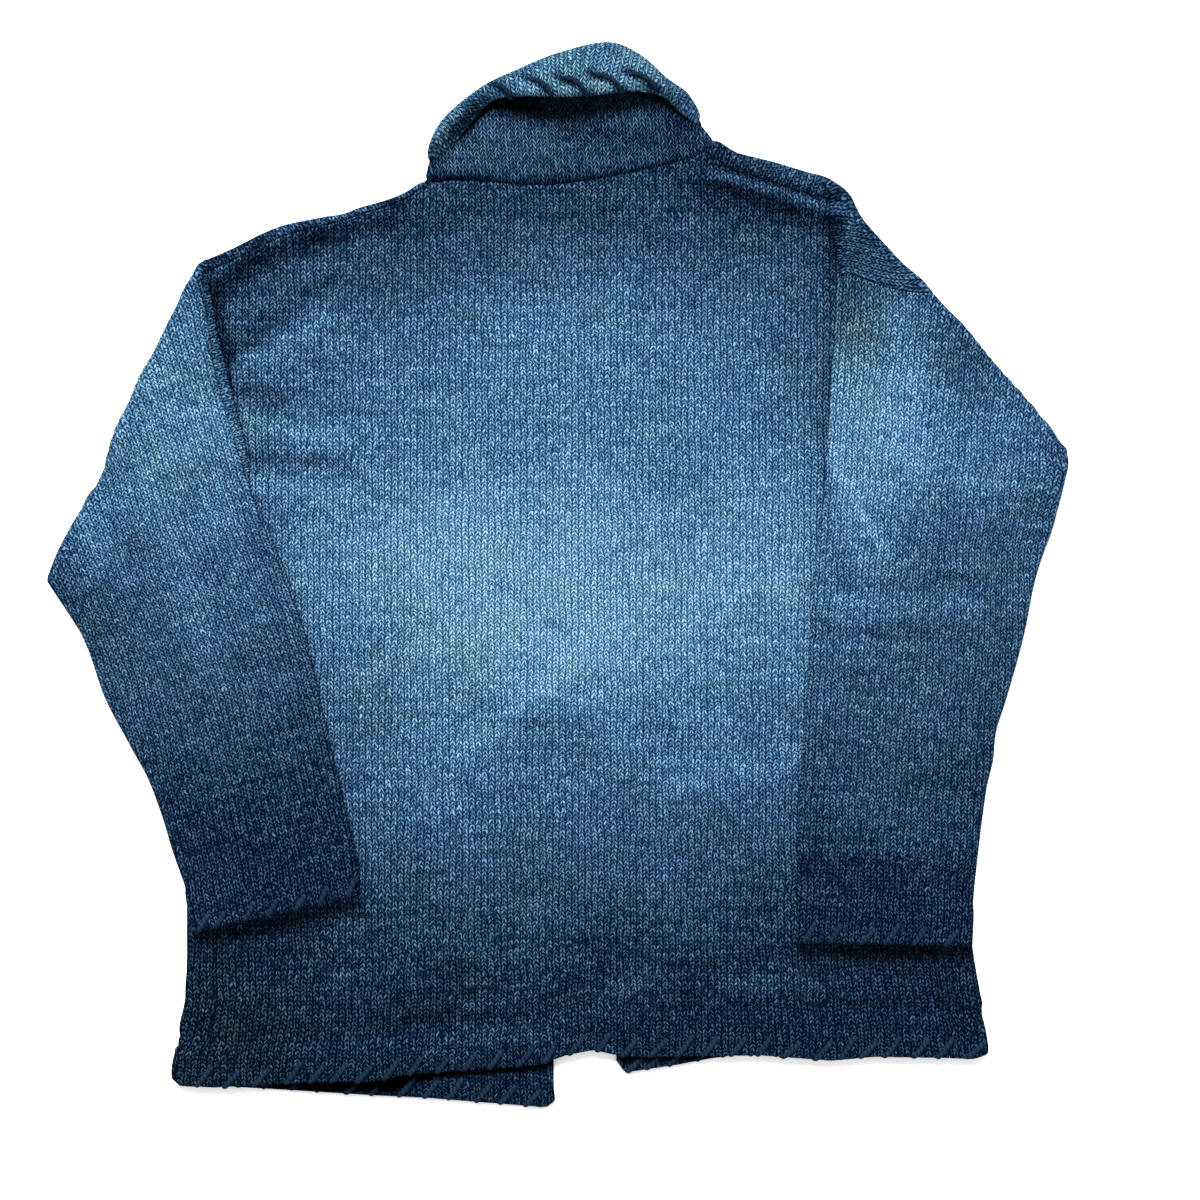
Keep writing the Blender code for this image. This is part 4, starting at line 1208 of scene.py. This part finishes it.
def knit(name, leg_slope, leg_place, leg_narrow, unruly):
    """Stockinette: each stitch is two leaning oval legs that meet at the top, in columns and rows.

    Across a column a runs from 0 in its middle to 0.5 at its sides.  A leg is the oval round the middle
    of the slanted strip between two whole numbers of v + leg_slope * a, and round a = leg_place;
    leg_narrow makes it narrower.  unruly scales how far the stitches stray.
    """
    r = Recipe(name)
    uv = r.node("ShaderNodeUVMap", uv_map="stitches").outputs[0]
    moved = uv
    for scale, across, up in STRAYS:
        moved = shaken(r, moved, scale, across * unruly, up * unruly)
    split = r.node("ShaderNodeSeparateXYZ", {0: moved})
    u, v = split.outputs["X"], split.outputs["Y"]
    column = r.math("FLOOR", u)
    f = r.math("SUBTRACT", r.math("SUBTRACT", u, column), 0.5)
    a = r.math("ABSOLUTE", f)
    side = r.math("SIGN", f)
    arch = r.math("SQRT", r.math("MULTIPLY_ADD", a, a, ARCH))
    strip = r.math("MULTIPLY_ADD", arch, leg_slope, v)
    row = r.math("FLOOR", strip)
    q = r.math("SUBTRACT", r.math("SUBTRACT", strip, row), 0.5)
    p = r.math("MULTIPLY", r.math("SUBTRACT", a, leg_place), leg_narrow)
    oval = r.math("MULTIPLY_ADD", r.math("MULTIPLY", q, q), LEG_THIN, r.math("MULTIPLY", p, p))
    leg = r.math("SUBTRACT", 1.0, oval, clamp=True)

    # Dye and wear: chance is one number for each leg, streaks run along the rows, fibres along the legs.
    stitch = r.vector(r.math("MULTIPLY_ADD", side, 0.25, column), row)
    chance = r.node("ShaderNodeTexWhiteNoise", {"Vector": stitch}, noise_dimensions="2D").outputs["Value"]
    streak = r.noise(r.scaled(u, row, STREAK_SCALE), 1.0, 3.0, 0.55)
    cloud = r.noise(uv, CLOUD_SCALE, 3.0, 0.55)
    fibre = r.noise(r.scaled(u, v, FIBRE_SCALE), 1.0, 2.0, 0.6)
    level = r.fact("dye_and_shade")
    for amount, noise in ((STREAKS, streak), (CLOUDS, cloud), (LEGS, chance)):
        level = r.varied(level, amount, noise)
    steep, threshold, paler = PALE_LEGS
    pale = r.math("MULTIPLY_ADD", chance, steep, threshold, clamp=True)
    level = r.math("MULTIPLY_ADD", pale, paler, level)
    wear_and_highlight = r.math("MULTIPLY_ADD", chance, WORN_LEGS, r.varied(WEAR_AND_HIGHLIGHT, FIBRES, fibre))
    # The colour follows each leg's own height: painted shade in the gaps, wear and a painted highlight on
    # the crowns.
    colour = yarn_colour(r, level, r.math("MULTIPLY", leg, wear_and_highlight, clamp=True))
    green = r.varied(r.fact("green"), GREENING, r.noise(uv, GREEN_SCALE, 3.0, 0.65))
    tint = r.ramp(r.math("MULTIPLY_ADD", green, 0.25, 0.5), GREEN_STOPS)
    colour = r.mix(1.0, colour, tint, "MULTIPLY")
    # Painted shadow and the darkest dye, where the level drops below 0.
    colour = r.mix(1.0, colour, r.math("MULTIPLY_ADD", level, *DEEP_DYE_AND_SHADOW, clamp=True), "MULTIPLY")
    height = r.math("MULTIPLY_ADD", fibre, FIBRE_HEIGHT, r.math("POWER", leg, LEG_ROUND))
    return r.matt(colour, height, Distance=KNIT_RELIEF, Strength=1.0)


def plied_yarn(name):
    """Thick indigo yarn: two strands that wind round each other, in ridges |sin(pi * turns)|.

    Its one attribute holds only the painted shadow close under the back's hem.
    """
    r = Recipe(name)
    split = r.node("ShaderNodeSeparateXYZ", {0: r.node("ShaderNodeUVMap", uv_map="stitches").outputs[0]})
    around, length = split.outputs["X"], split.outputs["Y"]
    turns = r.math("MULTIPLY_ADD", length, 1 / HALF_TURN, r.math("MULTIPLY", around, 2.0))
    strand = r.math("ABSOLUTE", r.math("SINE", r.math("MULTIPLY", turns, math.pi)))
    place = r.node("ShaderNodeTexCoord").outputs["Object"]
    fibre = r.noise(place, YARN_FIBRES, 3.0, 0.7)
    ridge = r.math("MULTIPLY", strand, r.math("MULTIPLY_ADD", fibre, 1.6, -0.1), clamp=True)
    patch = r.noise(place, YARN_PATCHES, 2.0, 0.5)
    # Painted shade in the grooves between the strands and a painted highlight on their crests.
    colour = r.mix(ridge, r.mix(patch, *YARN_DARK), r.mix(patch, *YARN_LIGHT))
    # Painted shadow on the whip stitches close under the back's hem.
    colour = r.mix(1.0, colour, r.math("MULTIPLY_ADD", r.fact("dye_and_shade"), 0.8, 1.0, clamp=True), "MULTIPLY")
    return r.matt(colour, strand, Distance=YARN_RELIEF)


# The pieces.
body_knit = knit("indigo stockinette", leg_slope=2.3, leg_place=0.22, leg_narrow=3.4, unruly=1.0)
collar_knit = knit(
    "indigo stockinette of the collar", leg_slope=3.2, leg_place=0.25, leg_narrow=3.2, unruly=0.6,
)
back = make_back(body_knit)
front_left = make_front(
    "front_left_knit", side_left, shoulder_left, SHOULDER_SEAM_LEFT, SIDE_SEAM_LEFT, ARMHOLE_LEFT,
    FRONT_LEFT_EDGE, LEFT_SAG, FRONT_LEFT_WHIPS, body_knit,
)
front_right = make_front(
    "front_right_knit", side_right, shoulder_right, SHOULDER_SEAM_RIGHT, SIDE_SEAM_RIGHT, ARMHOLE_RIGHT,
    FRONT_RIGHT_EDGE, RIGHT_SAG, FRONT_RIGHT_WHIPS, body_knit,
)
sleeve_left = make_sleeve(
    "sleeve_left_knit", SLEEVE_LEFT, ARMHOLE_LEFT, (sleeve_fold_left, shoulder_left, side_left),
    LEFT_DRAPE, LEFT_LEAN, LEFT_SLEEVE_CREASES, (LEFT_SLEEVE_DYE_AND_SHADE, LEFT_FADE), body_knit,
)
sleeve_right = make_sleeve(
    "sleeve_right_knit", SLEEVE_RIGHT, ARMHOLE_RIGHT, (sleeve_fold_right, shoulder_right, side_right),
    RIGHT_DRAPE, RIGHT_LEAN, RIGHT_SLEEVE_CREASES, (RIGHT_SLEEVE_DYE, RIGHT_FADE), body_knit,
)
collar, collar_face = make_collar(collar_knit)

thick_yarn = plied_yarn("thick indigo yarn")
hem_middle = BODY + 2 * (HEM_CLOTH - CLOTH) - HEM_CLOTH / 2
hem_whips("whip_stitches_back", HEM_WHIPS, BACK_SAG, hem_middle, thick_yarn)
hem_whips("whip_stitches_front_left", FRONT_LEFT_WHIPS, LEFT_SAG, HEM_CLOTH / 2, thick_yarn)
hem_whips("whip_stitches_front_right", FRONT_RIGHT_WHIPS, RIGHT_SAG, HEM_CLOTH / 2, thick_yarn)
cuff_whips("whip_stitches_cuff_left", LEFT_CUFF_WHIPS, SLEEVE_LEFT, LEFT_CUFF_SLANT, thick_yarn)
cuff_whips("whip_stitches_cuff_right", RIGHT_CUFF_WHIPS, SLEEVE_RIGHT, RIGHT_CUFF_SLANT, thick_yarn)
collar_whips("whip_stitches_collar", COLLAR_WHIPS, collar_face, thick_yarn)

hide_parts("back")
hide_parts("front_left")
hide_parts("front_right")
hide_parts("sleeve_left")
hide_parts("sleeve_right")
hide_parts("collar")

# Floor, light and camera, in metres.
FLOOR = 4
FLOOR_Z = -0.0003
SUN = 8.1
SUN_TILT = math.radians(-44)
SUN_TURN = math.radians(8)
SUN_SPREAD = math.radians(24)
SKY = 1.18
VIEW_WIDTH = 0.900
VIEW_MIDDLE = (0.03075, -0.01875)
DISTANCE = 1.75
SENSOR = 36

scene = bpy.context.scene
floor_mesh = bpy.data.meshes.new("floor")
corners = [(x * FLOOR, y * FLOOR, FLOOR_Z) for x, y in ((-1, -1), (1, -1), (1, 1), (-1, 1))]
floor_mesh.from_pydata(corners, [], [(0, 1, 2, 3)])
floor = bpy.data.objects.new("floor", floor_mesh)
scene.collection.objects.link(floor)
paper = Recipe("white paper")
paper.shader.inputs["Base Color"].default_value = (0.95, 0.95, 0.95, 1)
paper.shader.inputs["Roughness"].default_value = 0.9
floor_mesh.materials.append(paper.material)

key = bpy.data.lights.new("key", "SUN")
key.angle = SUN_SPREAD
key.energy = SUN
key_lamp = bpy.data.objects.new("key", key)
key_lamp.rotation_euler = (SUN_TILT, 0, SUN_TURN)
scene.collection.objects.link(key_lamp)
world = bpy.data.worlds.new("studio")
world.use_nodes = True
sky = world.node_tree.nodes["Background"]
sky.inputs["Color"].default_value = (1, 1, 1, 1)
sky.inputs["Strength"].default_value = SKY
scene.world = world
scene.view_settings.view_transform = "Standard"

camera_data = bpy.data.cameras.new("camera")
camera_data.sensor_width = SENSOR
camera_data.lens = SENSOR * DISTANCE / VIEW_WIDTH
camera = bpy.data.objects.new("camera", camera_data)
camera.location = (*VIEW_MIDDLE, DISTANCE + BODY * MM)
scene.collection.objects.link(camera)
scene.camera = camera
